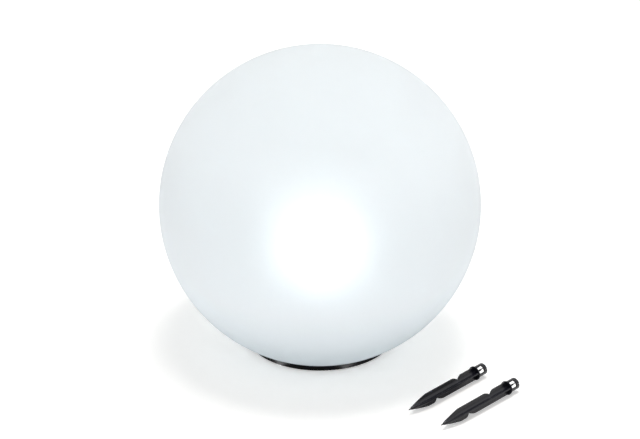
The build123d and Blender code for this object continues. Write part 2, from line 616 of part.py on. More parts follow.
def make_deck_screws():
    """Four screws that hold the deck cover from below."""
    one = screw(DECK_SCREW_LENGTH, SCREW_RADIUS, SCREW_HEAD_RADIUS, SCREW_HEAD_HEIGHT)
    return Compound([Pos(x, y, SCREW_SEAT_Z) * one for x, y in deck_screw_places()])


def make_solar_panel():
    """Annular backing plate of the solar panel."""
    body = ring(PANEL_RADIUS, PANEL_HOLE_RADIUS, PANEL_SEAT_Z, PANEL_TOP_Z)
    return chamfer(body.edges().group_by(Axis.Z)[-1], PANEL_THICKNESS / 4)


def make_solar_cells():
    """Sector-shaped cells on the panel, evenly spaced round the post."""
    outer = PANEL_RADIUS - CELL_MARGIN
    inner = PANEL_HOLE_RADIUS + CELL_MARGIN
    strip = ring(outer, inner, PANEL_TOP_Z, PANEL_TOP_Z + CELL_THICKNESS)
    cut = Pos(outer / 2, 0, PANEL_TOP_Z) * Box(outer * 1.1, CELL_SPACING, 4 * CELL_THICKNESS)
    for bar in around(cut, CELL_COUNT):
        strip -= bar
    return Compound(strip.solids())


def panel_lead_place():
    """Where the panel's lead passes down through the deck."""
    a = radians(PANEL_LEAD_ANGLE)
    reach = PANEL_HOLE_RADIUS + PANEL_LEAD_INSET
    return reach * cos(a), reach * sin(a)


def make_panel_lead():
    """Short straight lead from the panel's underside to the control board."""
    return Pos(*panel_lead_place(), 0) * disc(PANEL_LEAD_RADIUS, BOARD_TOP_Z, PANEL_SEAT_Z)


# ---------------------------------------------------------------- lamp
def make_lamp_post():
    """Tube on a flange with gussets, with a chamfered top."""
    body = disc(POST_RADIUS, POST_FLANGE_TOP_Z - EPS, POST_TOP_Z)
    body = chamfer(body.edges().group_by(Axis.Z)[-1], POST_WALL / 4)
    flange = disc(POST_FLANGE_RADIUS, DECK_TOP_Z, POST_FLANGE_TOP_Z)
    body += chamfer(flange.edges().group_by(Axis.Z)[-1], POST_FLANGE_THICKNESS / 4)
    reach = POST_FLANGE_RADIUS - POST_RADIUS - POST_FLANGE_THICKNESS / 4
    web = make_face(
        Polyline(
            (POST_RADIUS - POST_WALL / 2, POST_FLANGE_TOP_Z - EPS),
            (POST_RADIUS + reach, POST_FLANGE_TOP_Z - EPS),
            (POST_RADIUS, POST_FLANGE_TOP_Z + POST_GUSSET_HEIGHT),
            (POST_RADIUS - POST_WALL / 2, POST_FLANGE_TOP_Z + POST_GUSSET_HEIGHT),
            close=True,
        )
    )
    gusset = extrude(Plane.XZ * web, POST_GUSSET_THICKNESS / 2, both=True)
    body += around(gusset, POST_GUSSETS)
    body -= disc(POST_RADIUS - POST_WALL, DECK_TOP_Z - OVER, POST_TOP_Z + OVER)
    for x, y in post_screw_places():
        body -= Pos(x, y, 0) * disc(
            SCREW_RADIUS + SCREW_PASS_GAP, DECK_TOP_Z - OVER, POST_FLANGE_TOP_Z + OVER
        )
    return body


def make_post_screws():
    """Screws that hold the post's flange to the deck."""
    one = Rot(180, 0, 0) * screw(POST_SCREW_LENGTH, SCREW_RADIUS, SCREW_HEAD_RADIUS, SCREW_HEAD_HEIGHT)
    return Compound([Pos(x, y, POST_FLANGE_TOP_Z) * one for x, y in post_screw_places()])


def make_led_carrier():
    """Turned heat spreader: skirt over the post, plate, rim round the diffuser's neck, fins below."""
    skirt_inner = POST_RADIUS + CARRIER_SEAT_GAP
    skirt_outer = skirt_inner + CARRIER_SKIRT_WALL
    rim_inner = CARRIER_RADIUS - CARRIER_RIM_WALL
    rim_top = CARRIER_TOP_Z + CARRIER_RIM_HEIGHT
    body = lathe(
        [
            (0, POST_TOP_Z),
            (skirt_inner, POST_TOP_Z),
            (skirt_inner, POST_TOP_Z - CARRIER_SKIRT_DEPTH),
            (skirt_outer, POST_TOP_Z - CARRIER_SKIRT_DEPTH),
            (skirt_outer, POST_TOP_Z),
            (CARRIER_RADIUS, POST_TOP_Z),
            (CARRIER_RADIUS, rim_top),
            (rim_inner, rim_top),
            (rim_inner, CARRIER_TOP_Z),
            (0, CARRIER_TOP_Z),
        ]
    )
    fin_face = make_face(
        Polyline(
            (skirt_outer - EPS, POST_TOP_Z + EPS),
            (skirt_outer - EPS, POST_TOP_Z - CARRIER_SKIRT_DEPTH + CARRIER_FIN_STEP),
            (CARRIER_RADIUS - CARRIER_FIN_STEP, POST_TOP_Z + EPS),
            close=True,
        )
    )
    fin = extrude(Plane.XZ * fin_face, CARRIER_FIN_THICKNESS / 2, both=True)
    body += around(fin, CARRIER_FINS)
    return body - disc(LED_LEAD_RADIUS + 2 * LEAD_HOLE_GAP, POST_TOP_Z - OVER, CARRIER_TOP_Z + OVER)


def make_led_board():
    """Round board of the LEDs."""
    return disc(LED_BOARD_RADIUS, CARRIER_TOP_Z, LED_BOARD_TOP_Z)


def make_leds():
    """Square LED packages with round lenses, in a circle on the board."""
    package = Pos(0, 0, LED_BOARD_TOP_Z + LED_HEIGHT / 2) * Box(LED_SIZE, LED_SIZE, LED_HEIGHT)
    top = LED_BOARD_TOP_Z + LED_HEIGHT
    lens = disc(LED_LENS_RADIUS, top - EPS, top + LED_LENS_HEIGHT)
    lens = fillet(lens.edges().group_by(Axis.Z)[-1], LED_LENS_ROUNDING)
    one = Pos(LED_CIRCLE_RADIUS, 0, 0) * (package + lens)
    return Compound(around(one, LED_COUNT))


def make_lamp_diffuser():
    """Frosted bulb: part of a thin ball on a short neck that plugs into the carrier's rim."""
    outer = Pos(0, 0, DIFFUSER_CENTRE_Z) * Sphere(DIFFUSER_RADIUS)
    outer -= disc(2 * DIFFUSER_RADIUS, DIFFUSER_CENTRE_Z - 2 * DIFFUSER_RADIUS, DIFFUSER_NECK_Z)
    inner = Pos(0, 0, DIFFUSER_CENTRE_Z) * Sphere(DIFFUSER_RADIUS - DIFFUSER_WALL)
    body = outer + disc(DIFFUSER_NECK_RADIUS, CARRIER_TOP_Z, DIFFUSER_NECK_Z + EPS)
    body -= inner
    bore = DIFFUSER_NECK_RADIUS - DIFFUSER_WALL
    return body - disc(bore, CARRIER_TOP_Z - OVER, DIFFUSER_NECK_Z + DIFFUSER_WALL)


def make_led_lead():
    """Straight lead in the post, from the LED board down to the board's connector."""
    return disc(LED_LEAD_RADIUS, BOARD_TOP_Z + CONNECTOR_HEIGHT, CARRIER_TOP_Z)


# ---------------------------------------------------------------- battery
def battery_lead_x(side):
    """Where a battery lead rises, beside the end of the cell."""
    return side * (BAY_LENGTH / 2 - CONTACT_THICKNESS - BATTERY_LEAD_RADIUS - CONTACT_THICKNESS)


def make_battery_cell():
    """Round cell lying along X, its raised end towards +X."""
    can = Cylinder(CELL_RADIUS, CELL_LENGTH)
    can = fillet(can.edges(), CELL_EDGE_RADIUS)
    nub = Pos(0, 0, CELL_LENGTH / 2 + CELL_NUB_HEIGHT / 2 - EPS) * Cylinder(
        CELL_NUB_RADIUS, CELL_NUB_HEIGHT + 2 * EPS
    )
    return Pos(-CELL_NUB_HEIGHT / 2, 0, CELL_Z) * Rot(0, 90, 0) * (can + nub)


def make_battery_spring():
    """Bent leaf spring at the cell's flat end: a back plate and a bowed tongue that presses the cell."""
    wall_x = -BAY_LENGTH / 2
    touch_x = -CELL_LENGTH / 2 - CELL_NUB_HEIGHT / 2
    t = CONTACT_THICKNESS
    low = CELL_Z - CONTACT_HEIGHT / 2
    high = CELL_Z + CONTACT_HEIGHT / 2
    spine = FilletPolyline(
        (wall_x + t / 2, high),
        (wall_x + t / 2, low),
        (touch_x - t / 2 - LEAF_BOW, low),
        (touch_x - t / 2, CELL_Z),
        (touch_x - t / 2 - LEAF_BOW, high - LEAF_END_DROP),
        radius=LEAF_BEND_RADIUS,
    )
    strip = trace(spine, line_width=t)
    return extrude(Plane.XZ * strip, CONTACT_WIDTH / 2, both=True)


def make_battery_contact_plate():
    """Flat contact at the cell's raised end, with a dome pressed towards the cell."""
    wall_x = BAY_LENGTH / 2
    nub_x = CELL_LENGTH / 2 + CELL_NUB_HEIGHT / 2
    t = CONTACT_THICKNESS
    sheet = Pos(wall_x - t / 2, 0, CELL_Z) * Box(t, CONTACT_WIDTH, CONTACT_HEIGHT)
    reach = wall_x - t - nub_x
    dome = Pos(nub_x + reach / 2 + EPS, 0, CELL_Z) * Rot(0, -90, 0) * Cone(
        CONTACT_DOME_RADIUS, CONTACT_DOME_TOP_RADIUS, reach + 2 * EPS
    )
    return sheet + dome


def make_battery_leads():
    """Two straight leads from the battery contacts up to the control board."""
    leads = []
    for side in (1, -1):
        lead = disc(BATTERY_LEAD_RADIUS, CELL_Z + CONTACT_HEIGHT / 2, BOARD_BOTTOM_Z)
        leads.append(Pos(battery_lead_x(side), 0, 0) * lead)
    return Compound(leads)


def make_battery_door():
    """Screwed door flush with the underside, with grip grooves and a rib that presses the gasket."""
    body = plate(DOOR_LENGTH, DOOR_WIDTH, DOOR_CORNER_RADIUS - DOOR_GAP, UNDERSIDE_Z, DOOR_TOP_Z)
    groove = Pos(0, 0, UNDERSIDE_Z) * Box(DOOR_GRIP_WIDTH, DOOR_GRIP_LENGTH, 2 * DOOR_GRIP_DEPTH)
    for i in range(DOOR_GRIP_COUNT):
        body -= Pos((i - (DOOR_GRIP_COUNT - 1) / 2) * DOOR_GRIP_SPACING, 0, 0) * groove
    for x, y in door_screw_places():
        body -= Pos(x, y, 0) * disc(DOOR_SCREW_SHANK_RADIUS + SCREW_PASS_GAP, 0, DOOR_TOP_Z + OVER)
        body -= Pos(x, y, 0) * disc(
            DOOR_SCREW_HEAD_RADIUS + SCREW_PASS_GAP, 0, UNDERSIDE_Z + DOOR_SCREW_HEAD_HEIGHT
        )
    return body


def make_battery_door_seal():
    """Gasket round the bay's mouth, between the door and the ledge."""
    inner_length = BAY_LENGTH + 2 * DOOR_SEAL_INSET
    inner_width = BAY_WIDTH + 2 * DOOR_SEAL_INSET
    body = plate(
        inner_length + 2 * DOOR_SEAL_WIDTH,
        inner_width + 2 * DOOR_SEAL_WIDTH,
        DOOR_SEAL_WIDTH + BAY_CORNER,
        DOOR_TOP_Z,
        LEDGE_Z,
    )
    return body - plate(inner_length, inner_width, BAY_CORNER, DOOR_TOP_Z - OVER, LEDGE_Z + OVER)


def make_battery_door_screws():
    """Two small screws in the door's ends."""
    one = screw(
        DOOR_SCREW_LENGTH - DOOR_SCREW_HEAD_HEIGHT,
        DOOR_SCREW_SHANK_RADIUS,
        DOOR_SCREW_HEAD_RADIUS,
        DOOR_SCREW_HEAD_HEIGHT,
    )
    seat = UNDERSIDE_Z + DOOR_SCREW_HEAD_HEIGHT
    return Compound([Pos(x, y, seat) * one for x, y in door_screw_places()])


# ---------------------------------------------------------------- control board
def make_control_board():
    """Rectangular board under the deck, with holes for its screws and leads."""
    body = plate(BOARD_LENGTH, BOARD_WIDTH, BOARD_CORNER_RADIUS, BOARD_BOTTOM_Z, BOARD_TOP_Z)
    for x, y in board_screw_places():
        body -= Pos(x, y, 0) * disc(
            BOARD_SCREW_SHANK_RADIUS + SCREW_PASS_GAP, BOARD_BOTTOM_Z - OVER, BOARD_TOP_Z + OVER
        )
    return body


def make_board_components():
    """Chip, coil, capacitors and the lead's connector, standing on the board."""
    def block(x, y, length, width, height):
        return Pos(x, y, BOARD_TOP_Z + height / 2) * Box(length, width, height)

    def can(x, y, radius, height):
        return Pos(x, y, 0) * disc(radius, BOARD_TOP_Z, BOARD_TOP_Z + height)

    unit = BOARD_WIDTH / 10
    low_room = BOARD_DROP - HUB_DEPTH - COMPONENT_GAP
    tall_room = BOARD_DROP - COMPONENT_GAP
    pieces = [
        block(0, 0, 1.6 * unit, 1.2 * unit, CONNECTOR_HEIGHT),
        block(-4.6 * unit, 1.2 * unit, 2.2 * unit, 1.3 * unit, low_room / 2),
        can(4.4 * unit, 1.4 * unit, 0.8 * unit, low_room),
        can(5.3 * unit, -1.4 * unit, 0.6 * unit, tall_room),
        can(5.0 * unit, -3.2 * unit, 0.5 * unit, tall_room),
        block(-4.4 * unit, -2.0 * unit, 1.4 * unit, 0.9 * unit, low_room / 2),
    ]
    for i in range(4):
        pieces.append(block(-2.6 * unit, (i - 1.5) * unit * 1.1, 0.7 * unit, 0.4 * unit, low_room / 4))
    return Compound(pieces)


def make_board_screws():
    """Screws from below that hold the control board to the deck's bosses."""
    one = screw(
        BOARD_SCREW_LENGTH, BOARD_SCREW_SHANK_RADIUS, BOARD_SCREW_HEAD_RADIUS, BOARD_SCREW_HEAD_HEIGHT
    )
    return Compound([Pos(x, y, BOARD_BOTTOM_Z) * one for x, y in board_screw_places()])


# ---------------------------------------------------------------- switch
def make_switch_body():
    """Sealed push switch on the tube, with its plunger bore and two pins."""
    body = Pos(0, 0, SWITCH_BODY_Z) * extrude(
        RectangleRounded(SWITCH_SIZE, SWITCH_SIZE, SWITCH_CORNER_RADIUS), SWITCH_HEIGHT
    )
    top = SWITCH_BODY_Z + SWITCH_HEIGHT
    for i in range(SWITCH_PIN_COUNT):
        x = (i - (SWITCH_PIN_COUNT - 1) / 2) * SWITCH_PIN_SPACING
        body += Pos(x, 0, top + SWITCH_PIN_HEIGHT / 2 - EPS) * Box(
            SWITCH_PIN_WIDTH, SWITCH_PIN_WIDTH / 2, SWITCH_PIN_HEIGHT
        )
    depth = BUTTON_STEM_BITE + BUTTON_TRAVEL + BUTTON_STEM_GAP
    body -= disc(BUTTON_STEM_RADIUS + BUTTON_STEM_GAP, SWITCH_BODY_Z - OVER, SWITCH_BODY_Z + depth)
    return Pos(*SWITCH_PLACE) * body


def make_switch_seal():
    """Flat gasket between the tube and the switch body."""
    outer = SWITCH_TUBE_RADIUS + SWITCH_TUBE_WALL - SEAL_SIDE_GAP
    return Pos(*SWITCH_PLACE) * ring(outer, SWITCH_TUBE_RADIUS, SWITCH_TUBE_TOP_Z, SWITCH_BODY_Z)


def make_switch_button():
    """Push button: a dished cap, a flange that stops it, and a stem into the switch."""
    low = UNDERSIDE_Z + BUTTON_RECESS
    cap = disc(BUTTON_RADIUS, low, BUTTON_FLANGE_Z + EPS)
    cap = fillet(cap.edges().group_by(Axis.Z)[0], BUTTON_EDGE_RADIUS)
    body = cap + disc(BUTTON_FLANGE_RADIUS, BUTTON_FLANGE_Z, BUTTON_FLANGE_Z + BUTTON_FLANGE_THICKNESS)
    body += disc(BUTTON_STEM_RADIUS, BUTTON_FLANGE_Z, SWITCH_BODY_Z + BUTTON_STEM_BITE)
    body -= Pos(0, 0, low + BUTTON_RECESS - BUTTON_DISH_RADIUS) * Sphere(BUTTON_DISH_RADIUS)
    return Pos(*SWITCH_PLACE) * body


# ---------------------------------------------------------------- ground spike
def spike_envelope():
    """Turned envelope of the blades: nib, slightly bulging taper, then the full radius."""
    edge = SPIKE_BLADE_RADIUS
    start = SPIKE_NIB_LENGTH
    middle = (start + SPIKE_TAPER_LENGTH) / 2
    bulge = (SPIKE_NIB_SHOULDER + edge) / 2 + SPIKE_TAPER_BULGE
    outline = [
        Polyline((0, 0), (SPIKE_NIB_END_RADIUS, 0), (SPIKE_NIB_RADIUS, start), (SPIKE_NIB_SHOULDER, start)),
        ThreePointArc((SPIKE_NIB_SHOULDER, start), (bulge, middle), (edge, SPIKE_TAPER_LENGTH)),
        Polyline((edge, SPIKE_TAPER_LENGTH), (edge, SPIKE_COLLAR_TOP), (0, SPIKE_COLLAR_TOP), (0, 0)),
    ]
    return revolve(Plane.XZ * make_face(Curve() + outline), Axis.Z)


def spike_notch(place, depth, lead, trail):
    """Cutter of one notch in the edge of the blade along +X: two convex arcs that meet in a rounded root."""
    edge = SPIKE_BLADE_RADIUS + SPIKE_NOTCH_FLARE
    out = edge + depth
    root = (SPIKE_BLADE_RADIUS - depth, place)
    low = (edge, place - lead)
    high = (edge, place + trail)
    lower = TangentArc(low, root, tangent=(0, 1))
    upper = TangentArc(high, root, tangent=(0, -1))
    back = Polyline(high, (out, high[1]), (out, low[1]), low)
    cutter = make_face(Curve() + [lower, upper, back])
    corner = cutter.vertices().sort_by(Axis.X)[0]
    cutter = fillet(corner, SPIKE_NOTCH_ROUNDING)
    return extrude(Plane.XZ * cutter, SPIKE_BLADE_RADIUS, both=True)


def spike_section():
    """Four thin blades about the axis, with rounded roots."""
    span = 2 * (SPIKE_BLADE_RADIUS + OVER)
    cross = Rectangle(span, SPIKE_BLADE_THICKNESS) + Rectangle(SPIKE_BLADE_THICKNESS, span)
    corner = SPIKE_BLADE_THICKNESS * 0.75
    roots = [v for v in cross.vertices() if sqrt(v.X**2 + v.Y**2) < corner]
    return fillet(roots, SPIKE_ROOT_RADIUS)


def spike_barrel():
    """Hollow plug barrel: two windows beside a slim bar, a wide slot opposite that runs out, and a slotted end."""
    low = SPIKE_COLLAR_TOP
    high = SPIKE_LENGTH
    body = disc(SPIKE_BARREL_RADIUS, low - EPS, high)
    body = chamfer(body.edges().group_by(Axis.Z)[-1], SPIKE_RIM_CHAMFER)
    body -= disc(SPIKE_BARREL_RADIUS - SPIKE_BARREL_WALL, low, high + OVER)
    reach = SPIKE_BARREL_RADIUS + OVER
    inner = SPIKE_BARREL_RADIUS / 2
    window_low = low + SPIKE_WINDOW_START
    window_high = window_low + SPIKE_WINDOW_LENGTH
    bar = degrees(SPIKE_WINDOW_BAR / SPIKE_BARREL_RADIUS)
    sweep = bar + 2 * SPIKE_WINDOW_ARC
    for start in (bar / 2, -bar / 2 - SPIKE_WINDOW_ARC):
        body -= arc_block(reach, inner, window_low, window_high, SPIKE_WINDOW_ROLL + start, SPIKE_WINDOW_ARC)
    body -= arc_block(reach, inner, window_low, high + OVER, SPIKE_WINDOW_ROLL + 180 - sweep / 2, sweep)
    slot = Pos(reach / 2, 0, high) * Box(reach, SPIKE_SLOT_WIDTH, 2 * SPIKE_SLOT_DEPTH)
    for cut in around(slot, SPIKE_SLOT_COUNT):
        body -= cut
    return body + disc(SPIKE_CORE_RADIUS, low - EPS, low + SPIKE_CORE_LENGTH)


def make_spike():
    """One ground spike standing on its tip: notched blades, stop collar and plug barrel."""
    blades = extrude(spike_section(), SPIKE_COLLAR_BOTTOM + EPS)
    blades += disc(SPIKE_NIB_SHOULDER, 0, SPIKE_TAPER_LENGTH)
    blades &= spike_envelope()
    blades -= Rot(0, 0, 180) * spike_notch(
        SPIKE_LOWER_NOTCH, SPIKE_LOWER_NOTCH_DEPTH, SPIKE_LOWER_NOTCH_LEAD, SPIKE_LOWER_NOTCH_TRAIL
    )
    blades -= spike_notch(
        SPIKE_UPPER_NOTCH, SPIKE_UPPER_NOTCH_DEPTH, SPIKE_UPPER_NOTCH_LEAD, SPIKE_UPPER_NOTCH_TRAIL
    )
    collar = disc(SPIKE_COLLAR_RADIUS, SPIKE_COLLAR_BOTTOM, SPIKE_COLLAR_TOP)
    collar = chamfer(collar.edges().group_by(Axis.Z)[-1], SPIKE_COLLAR_CHAMFER)
    return blades + collar + spike_barrel()


def lay_down(spike, tip):
    """Lay a spike on the ground on its collar and its widest blade edge, tip at the given place."""
    roll = radians(SPIKE_ROLL)
    blade_low = SPIKE_BLADE_RADIUS * cos(roll) + SPIKE_BLADE_THICKNESS / 2 * sin(roll)
    pitch = degrees(atan2(SPIKE_COLLAR_RADIUS - blade_low, SPIKE_COLLAR_BOTTOM - SPIKE_TAPER_LENGTH))
    turned = Rot(0, 0, 180 - SPIKE_ROLL) * spike
    tipped = Rot(0, 90 - pitch, 0) * turned
    laid = Pos(*tip) * Rot(0, 0, SPIKE_AZIMUTH) * tipped
    return Pos(0, 0, -laid.bounding_box().min.Z) * laid


# ---------------------------------------------------------------- write the pieces
def main():
    os.makedirs("parts", exist_ok=True)
    spike = make_spike()
    pieces = {
        "globe_shell": make_globe_shell(),
        "neck_ring": make_neck_ring(),
        "neck_seal": make_neck_seal(),
        "base_dish": make_base_dish(),
        "foot_ring": make_foot_ring(),
        "deck_cover": make_deck_cover(),
        "deck_seal": make_deck_seal(),
        "deck_screws": make_deck_screws(),
        "solar_panel": make_solar_panel(),
        "solar_cells": make_solar_cells(),
        "panel_lead": make_panel_lead(),
        "lamp_post": make_lamp_post(),
        "post_screws": make_post_screws(),
        "led_carrier": make_led_carrier(),
        "led_board": make_led_board(),
        "leds": make_leds(),
        "lamp_diffuser": make_lamp_diffuser(),
        "led_lead": make_led_lead(),
        "battery_cell": make_battery_cell(),
        "battery_spring": make_battery_spring(),
        "battery_contact_plate": make_battery_contact_plate(),
        "battery_leads": make_battery_leads(),
        "battery_door": make_battery_door(),
        "battery_door_seal": make_battery_door_seal(),
        "battery_door_screws": make_battery_door_screws(),
        "control_board": make_control_board(),
        "board_components": make_board_components(),
        "board_screws": make_board_screws(),
        "switch_body": make_switch_body(),
        "switch_seal": make_switch_seal(),
        "switch_button": make_switch_button(),
        "spike_1": lay_down(spike, SPIKE_TIPS[0]),
        "spike_2": lay_down(spike, SPIKE_TIPS[1]),
    }
    for name, piece in pieces.items():
        export_step(piece, f"parts/{name}.step")


main()
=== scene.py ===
from math import cos, pi, radians, sin, sqrt

import bpy
import numpy as np
from bpy.props import FloatProperty, FloatVectorProperty, IntProperty, PointerProperty
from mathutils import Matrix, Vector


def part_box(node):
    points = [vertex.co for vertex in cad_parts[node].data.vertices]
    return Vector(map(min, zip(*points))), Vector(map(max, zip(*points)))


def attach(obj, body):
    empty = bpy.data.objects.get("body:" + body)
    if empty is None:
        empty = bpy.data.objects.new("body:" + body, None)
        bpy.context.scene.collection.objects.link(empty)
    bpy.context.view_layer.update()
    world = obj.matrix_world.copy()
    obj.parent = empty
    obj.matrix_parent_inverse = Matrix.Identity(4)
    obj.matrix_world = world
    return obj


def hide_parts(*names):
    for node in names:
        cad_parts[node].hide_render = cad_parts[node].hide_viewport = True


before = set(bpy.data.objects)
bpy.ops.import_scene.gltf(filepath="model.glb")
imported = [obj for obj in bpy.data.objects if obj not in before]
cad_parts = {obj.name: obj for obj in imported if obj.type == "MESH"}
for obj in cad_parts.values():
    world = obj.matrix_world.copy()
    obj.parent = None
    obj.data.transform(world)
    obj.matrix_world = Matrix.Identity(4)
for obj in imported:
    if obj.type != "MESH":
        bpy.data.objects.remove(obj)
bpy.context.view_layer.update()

bl_info = {
    "name": "Garden globe light",
    "version": (1, 0, 0),
    "blender": (4, 5, 0),
    "location": "3D View > Sidebar > Globe light",
    "description": "Dresses an opal globe garden light with its base, lamp and ground spikes",
    "category": "Object",
}


# ---------------------------------------------------------------- what the frame gives
def globe_sizes():
    """Outer radius, inner radius, centre height and lower edge height, from the globe's node."""
    low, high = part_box("globe_shell")
    outer = (high.x - low.x) / 2
    centre = high.z - outer
    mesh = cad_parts["globe_shell"].data
    points = np.empty(3 * len(mesh.vertices))
    mesh.vertices.foreach_get("co", points)
    reach = np.linalg.norm(points.reshape(-1, 3) - (0, 0, centre), axis=1)
    return outer, reach.min(), centre, low.z


GLOBE_OUTER, GLOBE_INNER, GLOBE_CENTRE, GLOBE_EDGE = globe_sizes()
GLOBE_MOUTH = sqrt(GLOBE_OUTER**2 - (GLOBE_CENTRE - GLOBE_EDGE) ** 2)
BULB_LOW, BULB_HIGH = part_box("lamp_diffuser")
BULB_RADIUS = (BULB_HIGH.x - BULB_LOW.x) / 2
BULB_CENTRE = BULB_HIGH.z - BULB_RADIUS

# ---------------------------------------------------------------- fixed measures, in metres
BULB_WALL = 0.0015
BULB_NECK_OUTER = 0.0258
BULB_NECK_INNER = BULB_NECK_OUTER - BULB_WALL
BULB_ROWS = 40
BULB_SEGMENTS = 96

# Painted lamplight: colour of the glow painted on the globe's wall in place of the bulb's light
# passing through it, at shares of its height. It is dim at the foot as painted shade of the base
# and deck, and dim at the top, far from the bulb
PAINTED_LAMPLIGHT_BY_HEIGHT = (
    (0.0, (0.25, 0.3, 0.33)),
    (0.13, (0.4, 0.47, 0.51)),
    (0.19, (0.52, 0.58, 0.62)),
    (0.33, (0.71, 0.75, 0.78)),
    (0.5, (0.69, 0.72, 0.74)),
    (0.75, (0.6, 0.63, 0.64)),
    (1.0, (0.25, 0.28, 0.28)),
)

# Width of the paler band along rubbed edges, which is partly wear and partly a painted highlight
WEAR_AND_HIGHLIGHT_RADIUS = 0.0005

# Solar cells: share of the pitch that a contact line takes up, bars round the axis, and half a
# bar's width over the angle between two bars
FINGER_SHARE = 0.12
CELL_BARS = 12
CELL_BAR_LIMIT = 0.0012

# Control board: pitch of the pads, squared radius of a pad and half width of a track in cells of
# their patterns, and the shift that puts a pad on the axis and keeps the count above nought
PAD_PITCH = 0.00508
PAD_LIMIT = 0.012
TRACK_LIMIT = 0.05
PAD_SHIFT = 100.5

# Stage: between these distances the floor's white rises, the broad lamp overhead, and the two
# small lamps beside the dish, just above the floor
FLOOR_SIDES = 96
NEAR_FLOOR = 0.9
FAR_FLOOR = 3.0
OVERHEAD_PLACE = (0.19, 0.17, 2.7)
OVERHEAD_SIZE = (0.9, 1.15)
GLEAM_PLACES = {"left_gleam": (-0.061, -0.087), "right_gleam": (0.043, -0.099)}
GLEAM_HEIGHT = 0.0012
GLEAM_SIZE = (0.026, 0.026)
SENSOR_MILLIMETRES = 36.0


# ---------------------------------------------------------------- settings a user would change
class StageSettings(bpy.types.PropertyGroup):
    """Floor, light and camera."""

    floor_colour: FloatVectorProperty(
        name="Floor colour", description="Colour of the floor", subtype="COLOR", size=3,
        default=(0.86, 0.843, 0.82), min=0, max=1,
    )
    floor_white: FloatProperty(
        name="Backdrop white",
        description="White that the camera adds to the floor, which keeps its shadow",
        default=0.42, min=0, max=1,
    )
    far_white: FloatProperty(
        name="Far white", description="White that the camera adds to the floor far from the object",
        default=0.62, min=0, max=1,
    )
    floor_radius: FloatProperty(
        name="Floor radius", description="Radius of the round floor", unit="LENGTH",
        default=9.0, min=2,
    )
    floor_drop: FloatProperty(
        name="Floor drop", description="How far the floor lies under the foot ring", unit="LENGTH",
        default=0.0001, min=0,
    )
    sky: FloatProperty(
        name="Room light", description="Strength of the even light of the room", default=0.4, min=0,
    )
    overhead_power: FloatProperty(
        name="Overhead power", description="Power of the broad lamp overhead", subtype="POWER",
        default=43.5, min=0,
    )
    gleam_power: FloatProperty(
        name="Gleam power",
        description="Power of each small low lamp that only the dish's gloss shows",
        subtype="POWER", default=0.03, min=0,
    )
    camera_distance: FloatProperty(
        name="Camera distance", description="From the camera to the globe's centre", unit="LENGTH",
        default=4.0, min=1,
    )
    camera_height: FloatProperty(
        name="Camera elevation", description="Angle of the camera above the globe's centre",
        subtype="ANGLE", default=radians(26.0), min=0, max=pi / 2,
    )
    camera_tilt: FloatProperty(
        name="Camera tilt", description="How far below the level the camera looks",
        subtype="ANGLE", default=radians(26.259), min=0, max=pi / 2,
    )
    camera_lens: FloatProperty(
        name="Camera lens", description="Focal length in millimetres", subtype="DISTANCE_CAMERA",
        default=181.2, min=20,
    )


class GlobeSettings(bpy.types.PropertyGroup):
    """The opal globe and its neck."""

    tint: FloatVectorProperty(
        name="Opal tint", description="Colour of the opal plastic", subtype="COLOR", size=3,
        default=(0.75, 0.765, 0.775), min=0, max=1,
    )
    # Painted lamplight: strength of the glow painted on the wall in place of the bulb's light
    # through it
    glow: FloatProperty(
        name="Wall glow", description="How strongly the lit wall glows by itself",
        default=0.3, min=0, max=2,
    )
    clearness: FloatProperty(
        name="Clearness", description="Share of the light that passes the wall", subtype="FACTOR",
        default=0.35, min=0, max=1,
    )
    frosting: FloatProperty(
        name="Frosting", description="Roughness of the wall, which blurs the lamp behind it",
        subtype="FACTOR", default=0.66, min=0, max=1,
    )
    segments: IntProperty(
        name="Segments", description="Faces round the globe", default=224, min=48, max=320,
    )
    neck_colour: FloatVectorProperty(
        name="Neck colour", description="Colour of the bayonet ring in the globe's mouth",
        subtype="COLOR", size=3, default=(0.78, 0.79, 0.78), min=0, max=1,
    )


class LampSettings(bpy.types.PropertyGroup):
    """The lamp on its post inside the globe."""

    light_colour: FloatVectorProperty(
        name="Light colour", description="Colour of the lamp's light", subtype="COLOR", size=3,
        default=(0.86, 0.97, 1.0), min=0, max=1,
    )
    light: FloatProperty(
        name="Light strength", description="How brightly the frosted bulb shines",
        default=30.0, min=0, max=50,
    )
    metal: FloatVectorProperty(
        name="Carrier metal", description="Colour of the spun heat spreader", subtype="COLOR",
        size=3, default=(0.72, 0.73, 0.74), min=0, max=1,
    )
    phosphor: FloatVectorProperty(
        name="Phosphor colour", description="Colour of the lenses of the light-emitting diodes",
        subtype="COLOR", size=3, default=(0.86, 0.72, 0.22), min=0, max=1,
    )


